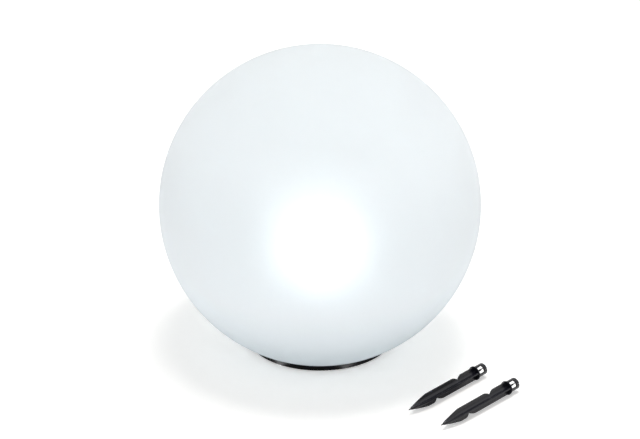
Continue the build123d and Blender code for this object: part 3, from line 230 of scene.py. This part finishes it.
class HousingSettings(bpy.types.PropertyGroup):
    """The base dish, deck and the parts they hold."""

    dish_colour: FloatVectorProperty(
        name="Dish colour", description="Colour of the gloss black dish", subtype="COLOR", size=3,
        default=(0.0035, 0.0035, 0.004), min=0, max=1,
    )
    dish_gloss: FloatProperty(
        name="Dish roughness", description="Roughness of the gloss black dish", subtype="FACTOR",
        default=0.42, min=0, max=1,
    )
    deck_colour: FloatVectorProperty(
        name="Deck colour", description="Colour of the white inner housing and post",
        subtype="COLOR", size=3, default=(0.76, 0.77, 0.76), min=0, max=1,
    )
    rubber_colour: FloatVectorProperty(
        name="Rubber colour", description="Colour of the foot ring", subtype="COLOR", size=3,
        default=(0.006, 0.006, 0.006), min=0, max=1,
    )
    cell_colour: FloatVectorProperty(
        name="Solar cell colour", description="Colour of the solar cells", subtype="COLOR", size=3,
        default=(0.006, 0.014, 0.06), min=0, max=1,
    )
    finger_pitch: FloatProperty(
        name="Finger pitch", description="Distance between the cells' fine contact lines",
        unit="LENGTH", default=0.0016, min=0.0004,
    )
    board_colour: FloatVectorProperty(
        name="Board colour", description="Colour of the control board's lacquer", subtype="COLOR",
        size=3, default=(0.01, 0.12, 0.045), min=0, max=1,
    )
    wrap_colour: FloatVectorProperty(
        name="Cell wrap colour", description="Colour of the battery's sleeve", subtype="COLOR",
        size=3, default=(0.02, 0.16, 0.32), min=0, max=1,
    )


class SpikeSettings(bpy.types.PropertyGroup):
    """The two ground spikes."""

    colour: FloatVectorProperty(
        name="Spike colour", description="Colour of the moulded black plastic", subtype="COLOR",
        size=3, default=(0.0055, 0.0055, 0.01), min=0, max=1,
    )
    roughness: FloatProperty(
        name="Spike roughness", description="Roughness of the moulded black plastic",
        subtype="FACTOR", default=0.26, min=0, max=1,
    )
    grain: FloatProperty(
        name="Grain size", description="Size of the moulded grain", unit="LENGTH",
        default=0.0007, min=0.0001,
    )


# ---------------------------------------------------------------- nodes
def add(tree, kind, **values):
    """A shader node. A value sets the property of its name, or with in_ the input of its name."""
    node = tree.nodes.new(kind)
    for name, value in values.items():
        if name.startswith("in_"):
            key = name[3:]
            key = int(key) if key.isdigit() else key.replace("_", " ")
            node.inputs[key].default_value = value
        else:
            setattr(node, name, value)
    return node


def feed(tree, value, socket):
    """Link a socket to an input, or set the input to a plain value."""
    if isinstance(value, bpy.types.NodeSocket):
        tree.links.new(value, socket)
    else:
        socket.default_value = value


def maths(tree, operation, first, second=None, clamp=False):
    """The output of a Math node that works on sockets or numbers."""
    node = add(tree, "ShaderNodeMath", operation=operation, use_clamp=clamp)
    feed(tree, first, node.inputs[0])
    if second is not None:
        feed(tree, second, node.inputs[1])
    return node.outputs[0]


def ramp(tree, factor, stops):
    """The colour output of a Color Ramp whose stops are (place, colour)."""
    node = add(tree, "ShaderNodeValToRGB")
    points = node.color_ramp.elements
    while len(points) < len(stops):
        points.new(1.0)
    for point, (place, colour) in zip(points, stops):
        point.position = place
        point.color = (*colour[:3], 1.0)
    tree.links.new(factor, node.inputs[0])
    return node.outputs[0]


def blend_colours(tree, factor, first, second):
    """The colour output of a Mix node between two colours, which are sockets or tuples."""
    node = add(tree, "ShaderNodeMix", data_type="RGBA")
    tree.links.new(factor, node.inputs[0])
    for place, value in ((6, first), (7, second)):
        plain = not isinstance(value, bpy.types.NodeSocket)
        feed(tree, (*value[:3], 1.0) if plain else value, node.inputs[place])
    return node.outputs[2]


def span(tree, value, low, high):
    """A value from 0 to 1 brought to the span from low to high."""
    node = add(tree, "ShaderNodeMapRange", in_3=low, in_4=high)
    tree.links.new(value, node.inputs[0])
    return node.outputs[0]


def noise(tree, place, scale, detail, roughness):
    """The height of a noise at a place. Its scale is a socket or a number."""
    node = add(tree, "ShaderNodeTexNoise", in_Detail=detail, in_Roughness=roughness)
    tree.links.new(place, node.inputs["Vector"])
    feed(tree, scale, node.inputs["Scale"])
    return node.outputs["Fac"]


def own_place(tree):
    """The place on the object, as a vector, and its X, Y and Z outputs."""
    place = add(tree, "ShaderNodeTexCoord").outputs["Object"]
    parts = add(tree, "ShaderNodeSeparateXYZ")
    tree.links.new(place, parts.inputs[0])
    return place, parts.outputs


def from_axis(tree, parts):
    """Distance from the upright axis: the root of x squared plus y squared."""
    x2 = maths(tree, "POWER", parts["X"], 2.0)
    y2 = maths(tree, "POWER", parts["Y"], 2.0)
    return maths(tree, "SQRT", maths(tree, "ADD", x2, y2))


def effect(name, inputs, outputs):
    """A new node group with inputs (name, default) and outputs by name, and its two end nodes."""
    group = bpy.data.node_groups.new(name, "ShaderNodeTree")
    kind = "NodeSocketFloat"
    for label, default in inputs:
        socket = group.interface.new_socket(label, in_out="INPUT", socket_type=kind)
        socket.default_value = default
    for label in outputs:
        group.interface.new_socket(label, in_out="OUTPUT", socket_type=kind)
    return group, group.nodes.new("NodeGroupInput"), group.nodes.new("NodeGroupOutput")


def place_effect(tree, group, **values):
    """The outputs of a node that uses an effect with this material's own values."""
    node = add(tree, "ShaderNodeGroup", node_tree=group)
    for name, value in values.items():
        node.inputs[name].default_value = value
    return node.outputs


# ---------------------------------------------------------------- effects of several materials
def moulded_grain():
    """Fine height and slow cloud: two noises of the object's place, the second three times finer
    at half the height, and a third noise fifty times slower."""
    group, ins, outs = effect("Moulded grain", [("Size", 0.001)], ["Height", "Cloud"])
    place = add(group, "ShaderNodeTexCoord").outputs["Object"]
    fine = maths(group, "DIVIDE", 1.0, ins.outputs["Size"])
    coarse = noise(group, place, fine, 2.0, 0.5)
    finer = noise(group, place, maths(group, "MULTIPLY", fine, 3.0), 1.0, 0.5)
    cloud = noise(group, place, maths(group, "MULTIPLY", fine, 0.02), 3.0, 0.55)
    half = maths(group, "MULTIPLY", finer, 0.5)
    group.links.new(maths(group, "ADD", coarse, half), outs.inputs["Height"])
    group.links.new(cloud, outs.inputs["Cloud"])
    return group


def turned_rings():
    """Fine rings about the upright axis: the sine of the distance from the axis over the pitch,
    plus a noise along that distance."""
    group, ins, outs = effect("Turned rings", [("Pitch", 0.001), ("Waver", 0.4)], ["Height"])
    reach = from_axis(group, own_place(group)[1])
    turns = maths(group, "MULTIPLY", maths(group, "DIVIDE", reach, ins.outputs["Pitch"]), 2 * pi)
    along = add(group, "ShaderNodeCombineXYZ")
    group.links.new(maths(group, "MULTIPLY", turns, 0.3), along.inputs["X"])
    uneven = noise(group, along.outputs[0], 1.0, 4.0, 0.7)
    wave = maths(group, "MULTIPLY", maths(group, "SINE", turns), 0.5)
    rough = maths(group, "MULTIPLY", uneven, ins.outputs["Waver"])
    group.links.new(maths(group, "ADD", wave, rough), outs.inputs["Height"])
    return group


def rubbed_and_highlit_edges():
    """Mask of outer edges: how far a rounded normal leaves the true one, broken up by noise. It
    paints the edges paler, partly as wear and partly as a painted highlight.
    """
    group, ins, outs = effect("Rubbed and highlit edges", [("Radius", 0.0005), ("Gain", 4.0)], ["Mask"])
    rounded = add(group, "ShaderNodeBevel", samples=4)
    group.links.new(ins.outputs["Radius"], rounded.inputs["Radius"])
    true = add(group, "ShaderNodeNewGeometry")
    dot = add(group, "ShaderNodeVectorMath", operation="DOT_PRODUCT")
    group.links.new(rounded.outputs[0], dot.inputs[0])
    group.links.new(true.outputs["Normal"], dot.inputs[1])
    turn = maths(group, "SUBTRACT", 1.0, dot.outputs["Value"])
    bent = maths(group, "MULTIPLY", turn, ins.outputs["Gain"], clamp=True)
    place = add(group, "ShaderNodeTexCoord").outputs["Object"]
    broken = maths(group, "MULTIPLY", bent, noise(group, place, 900.0, 3.0, 0.6), clamp=True)
    group.links.new(broken, outs.inputs["Mask"])
    return group


EFFECTS = {}


def shared(make):
    """An effect's node group, built the first time it is asked for."""
    if make.__name__ not in EFFECTS:
        EFFECTS[make.__name__] = make()
    return EFFECTS[make.__name__]


# ---------------------------------------------------------------- materials
def scaled(colour, factor, lift=0.0):
    """A colour times a factor, plus a lift, and at most one."""
    return tuple(min(1.0, factor * c + lift) for c in colour)


def shader(name, **values):
    """A material of one Principled shader, whose sockets take the values given."""
    material = bpy.data.materials.new(name)
    material.use_nodes = True
    tree = material.node_tree
    tree.nodes.clear()
    surface = add(tree, "ShaderNodeBsdfPrincipled")
    for key, value in values.items():
        surface.inputs[key.replace("_", " ")].default_value = value
    out = add(tree, "ShaderNodeOutputMaterial")
    tree.links.new(surface.outputs[0], out.inputs["Surface"])
    return material, tree, surface


def bump(tree, surface, height, strength, distance):
    """Raise the surface by a height socket."""
    node = add(tree, "ShaderNodeBump", in_Strength=strength, in_Distance=distance)
    tree.links.new(height, node.inputs["Height"])
    tree.links.new(node.outputs[0], surface.inputs["Normal"])


def opal_plastic(settings):
    """Opal plastic lit from inside: cool white, frosted, a little cloudy and softly grained, with
    painted lamplight: a glow by height in place of the bulb's light through the wall, and painted
    shade towards the foot."""
    material, tree, surface = shader(
        "Opal plastic", IOR=1.25, Transmission_Weight=settings.clearness,
        Emission_Strength=settings.glow, Specular_IOR_Level=0.1,
    )
    grain = place_effect(tree, shared(moulded_grain), Size=0.0012)
    colour = blend_colours(tree, grain["Cloud"], scaled(settings.tint, 0.97), settings.tint)
    frosting = span(tree, grain["Cloud"], settings.frosting - 0.03, settings.frosting + 0.03)
    parts = own_place(tree)[1]
    height = maths(tree, "DIVIDE", parts["Z"], GLOBE_CENTRE + GLOBE_OUTER)
    tree.links.new(colour, surface.inputs["Base Color"])
    tree.links.new(frosting, surface.inputs["Roughness"])
    # Painted lamplight: emission colour by height, with painted shade at the foot
    tree.links.new(ramp(tree, height, PAINTED_LAMPLIGHT_BY_HEIGHT), surface.inputs["Emission Color"])
    bump(tree, surface, grain["Height"], strength=0.05, distance=0.0002)
    return material


def lamp_glass(settings):
    """Frosted bulb that shines: a cool white glow, weaker where the neck sits in its rim."""
    material, tree, surface = shader(
        "Frosted bulb", IOR=1.45, Roughness=0.5, Emission_Strength=settings.light
    )
    grain = place_effect(tree, shared(moulded_grain), Size=0.0008)
    parts = own_place(tree)[1]
    rise = maths(tree, "SUBTRACT", parts["Z"], BULB_LOW.z)
    share = maths(tree, "DIVIDE", rise, BULB_HIGH.z - BULB_LOW.z)
    light = settings.light_colour
    glow = ramp(tree, share, [(0.02, scaled(light, 0.25)), (0.3, light), (1.0, light)])
    colour = blend_colours(tree, grain["Cloud"], (0.86, 0.87, 0.88), (0.92, 0.93, 0.94))
    tree.links.new(glow, surface.inputs["Emission Color"])
    tree.links.new(colour, surface.inputs["Base Color"])
    bump(tree, surface, grain["Height"], strength=0.1, distance=0.0001)
    return material


def moulded_plastic(name, colour, roughness, grain_size, grain_depth=0.25, specular=0.5, wear_and_highlight=0.0):
    """Moulded plastic: its colour with faint clouds, grain that scatters the gloss, and paler
    edges, partly wear and partly a painted highlight."""
    material, tree, surface = shader(name, IOR=1.5, Specular_IOR_Level=specular)
    grain = place_effect(tree, shared(moulded_grain), Size=grain_size)
    base = blend_colours(tree, grain["Cloud"], scaled(colour, 0.85), scaled(colour, 1.12))
    if wear_and_highlight:
        edges = place_effect(tree, shared(rubbed_and_highlit_edges), Radius=WEAR_AND_HIGHLIGHT_RADIUS, Gain=wear_and_highlight)
        # Paler edges: partly wear, partly a painted highlight
        base = blend_colours(tree, edges["Mask"], base, scaled(colour, 2.5, 0.02))
    gloss = span(tree, grain["Cloud"], max(0.02, roughness - 0.06), roughness + 0.06)
    tree.links.new(base, surface.inputs["Base Color"])
    tree.links.new(gloss, surface.inputs["Roughness"])
    bump(tree, surface, grain["Height"], strength=grain_depth, distance=0.00015)
    return material


def rubber(name, colour, roughness):
    """Matt rubber: grey bloom in clouds over its colour and a fine grain."""
    material, tree, surface = shader(name, IOR=1.5, Specular_IOR_Level=0.35)
    grain = place_effect(tree, shared(moulded_grain), Size=0.0006)
    base = blend_colours(tree, grain["Cloud"], colour, scaled(colour, 1.8, 0.002))
    gloss = span(tree, grain["Cloud"], roughness, roughness + 0.15)
    tree.links.new(base, surface.inputs["Base Color"])
    tree.links.new(gloss, surface.inputs["Roughness"])
    bump(tree, surface, grain["Height"], strength=0.4, distance=0.0002)
    return material


def turned_metal(name, colour, roughness, pitch):
    """Bare metal with fine turned rings, which lie across its gloss."""
    material, tree, surface = shader(name, Metallic=1.0)
    rings = place_effect(tree, shared(turned_rings), Pitch=pitch, Waver=0.6)
    grain = place_effect(tree, shared(moulded_grain), Size=0.002)
    base = blend_colours(tree, grain["Cloud"], scaled(colour, 0.8), colour)
    gloss = span(tree, rings["Height"], max(0.05, roughness - 0.08), roughness + 0.1)
    tree.links.new(base, surface.inputs["Base Color"])
    tree.links.new(gloss, surface.inputs["Roughness"])
    bump(tree, surface, rings["Height"], strength=0.15, distance=0.00005)
    return material


def solar_cell(settings):
    """Dark blue crystal cells under a clear coat, with fine silver lines round the axis, where the
    distance from it over the pitch is near a whole number, and radial bars across them."""
    material, tree, surface = shader(
        "Solar cell", IOR=1.5, Coat_Weight=1.0, Coat_Roughness=0.06, Specular_IOR_Level=0.5,
        Roughness=0.35,
    )
    place, parts = own_place(tree)
    reach = from_axis(tree, parts)
    step = maths(tree, "FRACT", maths(tree, "DIVIDE", reach, settings.finger_pitch))
    finger = maths(tree, "LESS_THAN", step, FINGER_SHARE)
    angle = maths(tree, "ARCTAN2", parts["Y"], parts["X"])
    spacings = maths(tree, "MULTIPLY", angle, CELL_BARS / (2 * pi))
    turn = maths(tree, "FRACT", maths(tree, "ADD", spacings, CELL_BARS))
    offset = maths(tree, "ABSOLUTE", maths(tree, "SUBTRACT", turn, 0.5))
    bar = maths(tree, "LESS_THAN", maths(tree, "MULTIPLY", offset, reach), CELL_BAR_LIMIT)
    silver = maths(tree, "MAXIMUM", finger, bar)
    crystal = add(tree, "ShaderNodeTexVoronoi", in_Scale=140.0)
    tree.links.new(place, crystal.inputs["Vector"])
    deep = settings.cell_colour
    shade = blend_colours(tree, crystal.outputs["Distance"], deep, scaled(deep, 2.2))
    colour = blend_colours(tree, silver, shade, (0.55, 0.56, 0.58))
    tree.links.new(colour, surface.inputs["Base Color"])
    tree.links.new(silver, surface.inputs["Metallic"])
    return material


def circuit_board(settings):
    """Lacquered board: copper tracks under green lacquer, on the edges of square cells, and small
    tinned pads, each a circle in a square of the pads' pitch."""
    material, tree, surface = shader("Board green", IOR=1.5, Coat_Weight=0.5, Coat_Roughness=0.15)
    place, parts = own_place(tree)
    tracks = add(
        tree, "ShaderNodeTexVoronoi", distance="CHEBYCHEV", feature="DISTANCE_TO_EDGE",
        in_Scale=160.0,
    )
    tree.links.new(place, tracks.inputs["Vector"])
    line = maths(tree, "LESS_THAN", tracks.outputs["Distance"], TRACK_LIMIT)
    squares = []
    for axis in ("X", "Y"):
        pitches = maths(tree, "DIVIDE", parts[axis], PAD_PITCH)
        step = maths(tree, "FRACT", maths(tree, "ADD", pitches, PAD_SHIFT))
        squares.append(maths(tree, "POWER", maths(tree, "SUBTRACT", step, 0.5), 2.0))
    pad = maths(tree, "LESS_THAN", maths(tree, "ADD", *squares), PAD_LIMIT)
    green = settings.board_colour
    colour = blend_colours(tree, line, green, scaled(green, 1.9, 0.01))
    colour = blend_colours(tree, pad, colour, (0.62, 0.62, 0.58))
    tree.links.new(colour, surface.inputs["Base Color"])
    tree.links.new(pad, surface.inputs["Metallic"])
    tree.links.new(span(tree, line, 0.35, 0.28), surface.inputs["Roughness"])
    bump(tree, surface, line, strength=0.3, distance=0.00004)
    return material


def seen_directly(tree):
    """One for what the camera sees, also in gloss and through glass, and nought for what only
    lights the object."""
    path = add(tree, "ShaderNodeLightPath")
    mirrored = maths(tree, "MAXIMUM", path.outputs["Is Camera Ray"], path.outputs["Is Glossy Ray"])
    return maths(tree, "MAXIMUM", mirrored, path.outputs["Is Transmission Ray"])


def studio_floor(settings):
    """Pale floor that keeps its shadow. The camera, gloss and glass see its white lifted, far off
    more than near."""
    material = bpy.data.materials.new("Studio floor")
    material.use_nodes = True
    tree = material.node_tree
    tree.nodes.clear()
    matt = add(tree, "ShaderNodeBsdfDiffuse", in_Color=(*settings.floor_colour, 1.0))
    lift = add(tree, "ShaderNodeEmission")
    place = add(tree, "ShaderNodeTexCoord").outputs["Object"]
    reach = add(tree, "ShaderNodeVectorMath", operation="LENGTH")
    tree.links.new(place, reach.inputs[0])
    white = add(
        tree, "ShaderNodeMapRange", in_1=NEAR_FLOOR, in_2=FAR_FLOOR, in_3=settings.floor_white,
        in_4=settings.far_white,
    )
    tree.links.new(reach.outputs["Value"], white.inputs[0])
    tree.links.new(white.outputs[0], lift.inputs["Strength"])
    both = add(tree, "ShaderNodeAddShader")
    tree.links.new(matt.outputs[0], both.inputs[0])
    tree.links.new(lift.outputs[0], both.inputs[1])
    choice = add(tree, "ShaderNodeMixShader")
    tree.links.new(seen_directly(tree), choice.inputs[0])
    tree.links.new(matt.outputs[0], choice.inputs[1])
    tree.links.new(both.outputs[0], choice.inputs[2])
    out = add(tree, "ShaderNodeOutputMaterial")
    tree.links.new(choice.outputs[0], out.inputs["Surface"])
    return material


# ---------------------------------------------------------------- meshes
def new_piece(name, points, faces, material, body):
    """A smooth mesh object from points and faces, with its material and body."""
    mesh = bpy.data.meshes.new(name)
    mesh.from_pydata(points.tolist(), [], faces)
    mesh.validate()
    mesh.polygons.foreach_set("use_smooth", np.full(len(mesh.polygons), True))
    mesh.update()
    mesh.materials.append(material)
    piece = bpy.data.objects.new(name, mesh)
    bpy.context.scene.collection.objects.link(piece)
    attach(piece, body)
    return piece


def arc(radius, centre, start, end, count):
    """Points (r, z) on a circle about (0, centre): r = R sin a and z = centre + R cos a, for a
    from start to end."""
    a = np.linspace(start, end, count)
    return np.column_stack((radius * np.sin(a), centre + radius * np.cos(a)))


def turned(profile, segments):
    """Surface of revolution of (r, z) points: x = r cos t and y = r sin t. The first and the last
    point lie on the axis, and each becomes a single pole."""
    t = np.linspace(0, 2 * pi, segments, endpoint=False)
    ring = profile[1:-1]
    x = ring[:, :1] * np.cos(t)
    y = ring[:, :1] * np.sin(t)
    z = np.repeat(ring[:, 1:], segments, axis=1)
    body = np.stack((x, y, z), axis=2).reshape(-1, 3)
    poles = np.array([(0, 0, profile[0, 1]), (0, 0, profile[-1, 1])])
    points = np.vstack((body, poles))
    rows = len(ring)
    i = np.arange((rows - 1) * segments)
    right = i // segments * segments + (i + 1) % segments
    quads = np.column_stack((i, i + segments, right + segments, right))
    j = np.arange(segments)
    after = (j + 1) % segments
    first = np.column_stack((np.full(segments, len(body)), j, after))
    last_row = (rows - 1) * segments
    last = np.column_stack((np.full(segments, len(body) + 1), last_row + after, last_row + j))
    return points, quads.tolist() + first.tolist() + last.tolist()


def dress(material, *names):
    """Give CAD nodes a material in all their slots."""
    for name in names:
        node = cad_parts[name]
        if not node.material_slots:
            node.data.materials.append(material)
        for place in node.material_slots:
            place.material = material


# ---------------------------------------------------------------- operators
class GLOBELIGHT_OT_stage(bpy.types.Operator):
    """Make the floor, the lamps of the studio and the camera"""

    bl_idname = "globelight.stage"
    bl_label = "Studio stage"

    def execute(self, context):
        settings = context.scene.globelight_stage
        self.floor(context, settings)
        self.light("overhead", OVERHEAD_PLACE, (0, 0, 0), OVERHEAD_SIZE, settings.overhead_power)
        dish_alone = bpy.data.collections.new("dish_alone")
        dish_alone.objects.link(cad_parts["base_dish"])
        for name, (x, y) in GLEAM_PLACES.items():
            place = (x, y, GLEAM_HEIGHT)
            gleam = self.light(name, place, (x, y, 1.0), GLEAM_SIZE, settings.gleam_power)
            gleam.light_linking.receiver_collection = dish_alone
        self.room(context, settings)
        self.camera(context, settings)
        context.scene.view_settings.view_transform = "Standard"
        return {"FINISHED"}

    def floor(self, context, settings):
        """A round floor, a hair under the foot ring."""
        t = np.linspace(0, 2 * pi, FLOOR_SIDES, endpoint=False)
        edge = np.column_stack((np.cos(t), np.sin(t), np.zeros(FLOOR_SIDES)))
        edge *= settings.floor_radius
        edge[:, 2] -= settings.floor_drop
        mesh = bpy.data.meshes.new("studio_floor")
        mesh.from_pydata(edge.tolist(), [], [list(range(FLOOR_SIDES))])
        mesh.materials.append(studio_floor(settings))
        floor = bpy.data.objects.new("studio_floor", mesh)
        context.scene.collection.objects.link(floor)

    def light(self, name, place, aim, size, power):
        """An area lamp at a place that shines towards another and that the camera doesn't see."""
        data = bpy.data.lights.new(name, "AREA")
        data.shape = "RECTANGLE"
        data.size, data.size_y = size
        data.energy = power
        lamp = bpy.data.objects.new(name, data)
        lamp.location = place
        way = Vector(aim) - Vector(place)
        lamp.rotation_euler = way.to_track_quat("-Z", "Y").to_euler()
        lamp.visible_camera = False
        bpy.context.scene.collection.objects.link(lamp)
        return lamp

    def room(self, context, settings):
        """Even light all round, which the camera, gloss and glass see white."""
        world = bpy.data.worlds.new("room")
        context.scene.world = world
        world.use_nodes = True
        tree = world.node_tree
        tree.nodes.clear()
        sky = add(tree, "ShaderNodeBackground", in_Color=(1.0, 1.0, 1.0, 1.0))
        tree.links.new(span(tree, seen_directly(tree), settings.sky, 1.0), sky.inputs["Strength"])
        out = add(tree, "ShaderNodeOutputWorld")
        tree.links.new(sky.outputs[0], out.inputs["Surface"])

    def camera(self, context, settings):
        """A long lens in front of the light, above the globe's centre and tilted down."""
        data = bpy.data.cameras.new("camera")
        data.lens = settings.camera_lens
        data.sensor_width = SENSOR_MILLIMETRES
        eye = bpy.data.objects.new("camera", data)
        away = settings.camera_distance
        up = settings.camera_height
        eye.location = (0, -away * cos(up), GLOBE_CENTRE + away * sin(up))
        eye.rotation_euler = (pi / 2 - settings.camera_tilt, 0, 0)
        context.scene.collection.objects.link(eye)
        context.scene.camera = eye


class GLOBELIGHT_OT_globe(bpy.types.Operator):
    """Make the opal globe as a smooth closed shell, and dress the ring in its mouth"""

    bl_idname = "globelight.globe"
    bl_label = "Opal globe"

    def execute(self, context):
        settings = context.scene.globelight_globe
        rows = settings.segments // 2
        outer_end = pi - np.arcsin(GLOBE_MOUTH / GLOBE_OUTER)
        inner_end = pi - np.arcsin(GLOBE_MOUTH / GLOBE_INNER)
        outer = arc(GLOBE_OUTER, GLOBE_CENTRE, 0, outer_end, rows)
        inner = arc(GLOBE_INNER, GLOBE_CENTRE, inner_end, 0, rows)
        points, faces = turned(np.vstack((outer, inner)), settings.segments)
        opal = opal_plastic(settings)
        globe = new_piece("opal_globe", points, faces, opal, "globe")
        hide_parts("globe_shell")
        neck = moulded_plastic(
            "Neck plastic", tuple(settings.neck_colour), 0.4, 0.0009, grain_depth=0.15
        )
        dress(neck, "neck_ring")
        return {"FINISHED"}


class GLOBELIGHT_OT_lamp(bpy.types.Operator):
    """Make the frosted bulb and dress the post, the heat spreader and the light-emitting diodes"""

    bl_idname = "globelight.lamp"
    bl_label = "Lamp"

    def execute(self, context):
        settings = context.scene.globelight_lamp
        housing = context.scene.globelight_housing
        inner_radius = BULB_RADIUS - BULB_WALL
        outer_end = pi - np.arcsin(BULB_NECK_OUTER / BULB_RADIUS)
        inner_end = pi - np.arcsin(BULB_NECK_INNER / inner_radius)
        outer = arc(BULB_RADIUS, BULB_CENTRE, 0, outer_end, BULB_ROWS)
        inner = arc(inner_radius, BULB_CENTRE, inner_end, 0, BULB_ROWS)
        foot = np.array(((BULB_NECK_OUTER, BULB_LOW.z), (BULB_NECK_INNER, BULB_LOW.z)))
        points, faces = turned(np.vstack((outer, foot, inner)), BULB_SEGMENTS)
        glass = lamp_glass(settings)
        bulb = new_piece("frosted_bulb", points, faces, glass, "base")
        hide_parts("lamp_diffuser")
        dress(turned_metal("Spun aluminium", tuple(settings.metal), 0.32, 0.0005), "led_carrier")
        board = moulded_plastic("Board white", (0.82, 0.82, 0.8), 0.3, 0.0006, grain_depth=0.1)
        dress(board, "led_board")
        lens = moulded_plastic(
            "Phosphor lens", tuple(settings.phosphor), 0.2, 0.0004, grain_depth=0.05
        )
        dress(lens, "leds")
        white = moulded_plastic(
            "Post plastic", tuple(housing.deck_colour), 0.42, 0.0009, grain_depth=0.15
        )
        dress(white, "lamp_post")
        sleeve = rubber("Lead sleeve", (0.03, 0.03, 0.03), 0.5)
        dress(sleeve, "led_lead", "panel_lead", "battery_leads")
        return {"FINISHED"}


class GLOBELIGHT_OT_base(bpy.types.Operator):
    """Dress the gloss black dish, its foot ring and its seals"""

    bl_idname = "globelight.base"
    bl_label = "Base dish"

    def execute(self, context):
        settings = context.scene.globelight_housing
        gloss = moulded_plastic(
            "Gloss black", tuple(settings.dish_colour), settings.dish_gloss, 0.004,
            grain_depth=0.03, specular=0.07,
        )
        dress(gloss, "base_dish", "battery_door")
        dress(rubber("Foot rubber", tuple(settings.rubber_colour), 0.7), "foot_ring")
        seal = rubber("Seal rubber", (0.05, 0.05, 0.052), 0.5)
        dress(seal, "neck_seal", "deck_seal", "battery_door_seal", "switch_seal")
        return {"FINISHED"}


class GLOBELIGHT_OT_deck(bpy.types.Operator):
    """Dress the inner housing, the solar panel and its cells"""

    bl_idname = "globelight.deck"
    bl_label = "Deck and solar panel"

    def execute(self, context):
        settings = context.scene.globelight_housing
        white = moulded_plastic(
            "White plastic", tuple(settings.deck_colour), 0.42, 0.0009, grain_depth=0.15
        )
        dress(white, "deck_cover")
        dress(moulded_plastic("Panel backing", (0.03, 0.03, 0.032), 0.35, 0.001), "solar_panel")
        dress(solar_cell(settings), "solar_cells")
        return {"FINISHED"}


class GLOBELIGHT_OT_electronics(bpy.types.Operator):
    """Dress the control board, the battery and its contacts"""

    bl_idname = "globelight.electronics"
    bl_label = "Board and battery"

    def execute(self, context):
        settings = context.scene.globelight_housing
        dress(circuit_board(settings), "control_board")
        black = moulded_plastic("Component black", (0.02, 0.02, 0.022), 0.45, 0.0005)
        dress(black, "board_components")
        wrap = moulded_plastic(
            "Cell wrap", tuple(settings.wrap_colour), 0.25, 0.003, grain_depth=0.05
        )
        dress(wrap, "battery_cell")
        nickel = turned_metal("Contact nickel", (0.68, 0.65, 0.58), 0.3, 0.0009)
        dress(nickel, "battery_spring", "battery_contact_plate")
        return {"FINISHED"}


class GLOBELIGHT_OT_switch(bpy.types.Operator):
    """Dress the push switch and its button"""

    bl_idname = "globelight.switch"
    bl_label = "Switch"

    def execute(self, context):
        dress(moulded_plastic("Switch black", (0.015, 0.015, 0.016), 0.4, 0.0005), "switch_body")
        dress(rubber("Button rubber", (0.04, 0.04, 0.042), 0.45), "switch_button")
        return {"FINISHED"}


class GLOBELIGHT_OT_screws(bpy.types.Operator):
    """Dress all the screws"""

    bl_idname = "globelight.screws"
    bl_label = "Screws"

    def execute(self, context):
        steel = turned_metal("Screw steel", (0.56, 0.55, 0.53), 0.3, 0.0004)
        dress(steel, "deck_screws", "post_screws", "board_screws", "battery_door_screws")
        return {"FINISHED"}


class GLOBELIGHT_OT_spikes(bpy.types.Operator):
    """Dress the two ground spikes"""

    bl_idname = "globelight.spikes"
    bl_label = "Ground spikes"

    def execute(self, context):
        settings = context.scene.globelight_spikes
        # The spikes' paler edges are partly wear and partly a painted highlight
        black = moulded_plastic(
            "Spike plastic", tuple(settings.colour), settings.roughness, settings.grain,
            grain_depth=0.1, specular=0.42, wear_and_highlight=1.5,
        )
        dress(black, "spike_1", "spike_2")
        return {"FINISHED"}


class GLOBELIGHT_PT_panel(bpy.types.Panel):
    """Lists the pieces of the light and their settings"""

    bl_idname = "GLOBELIGHT_PT_panel"
    bl_label = "Globe light"
    bl_space_type = "VIEW_3D"
    bl_region_type = "UI"
    bl_category = "Globe light"

    def draw(self, context):
        for operator in OPERATORS:
            self.layout.operator(operator.bl_idname)
        for name in SETTINGS:
            group = getattr(context.scene, name)
            box = self.layout.box()
            for key in group.__annotations__:
                box.prop(group, key)


SETTINGS = {
    "globelight_stage": StageSettings,
    "globelight_globe": GlobeSettings,
    "globelight_lamp": LampSettings,
    "globelight_housing": HousingSettings,
    "globelight_spikes": SpikeSettings,
}
OPERATORS = (
    GLOBELIGHT_OT_stage,
    GLOBELIGHT_OT_globe,
    GLOBELIGHT_OT_lamp,
    GLOBELIGHT_OT_base,
    GLOBELIGHT_OT_deck,
    GLOBELIGHT_OT_electronics,
    GLOBELIGHT_OT_switch,
    GLOBELIGHT_OT_screws,
    GLOBELIGHT_OT_spikes,
)


def register():
    for cls in (*SETTINGS.values(), *OPERATORS, GLOBELIGHT_PT_panel):
        bpy.utils.register_class(cls)
    for name, group in SETTINGS.items():
        setattr(bpy.types.Scene, name, PointerProperty(type=group))


def unregister():
    for name in SETTINGS:
        delattr(bpy.types.Scene, name)
    for cls in reversed((*SETTINGS.values(), *OPERATORS, GLOBELIGHT_PT_panel)):
        bpy.utils.unregister_class(cls)


def main():
    """Register the classes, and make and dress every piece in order."""
    register()
    bpy.ops.globelight.stage()
    bpy.ops.globelight.globe()
    bpy.ops.globelight.lamp()
    bpy.ops.globelight.base()
    bpy.ops.globelight.deck()
    bpy.ops.globelight.electronics()
    bpy.ops.globelight.switch()
    bpy.ops.globelight.screws()
    bpy.ops.globelight.spikes()


if __name__ == "__main__":
    main()
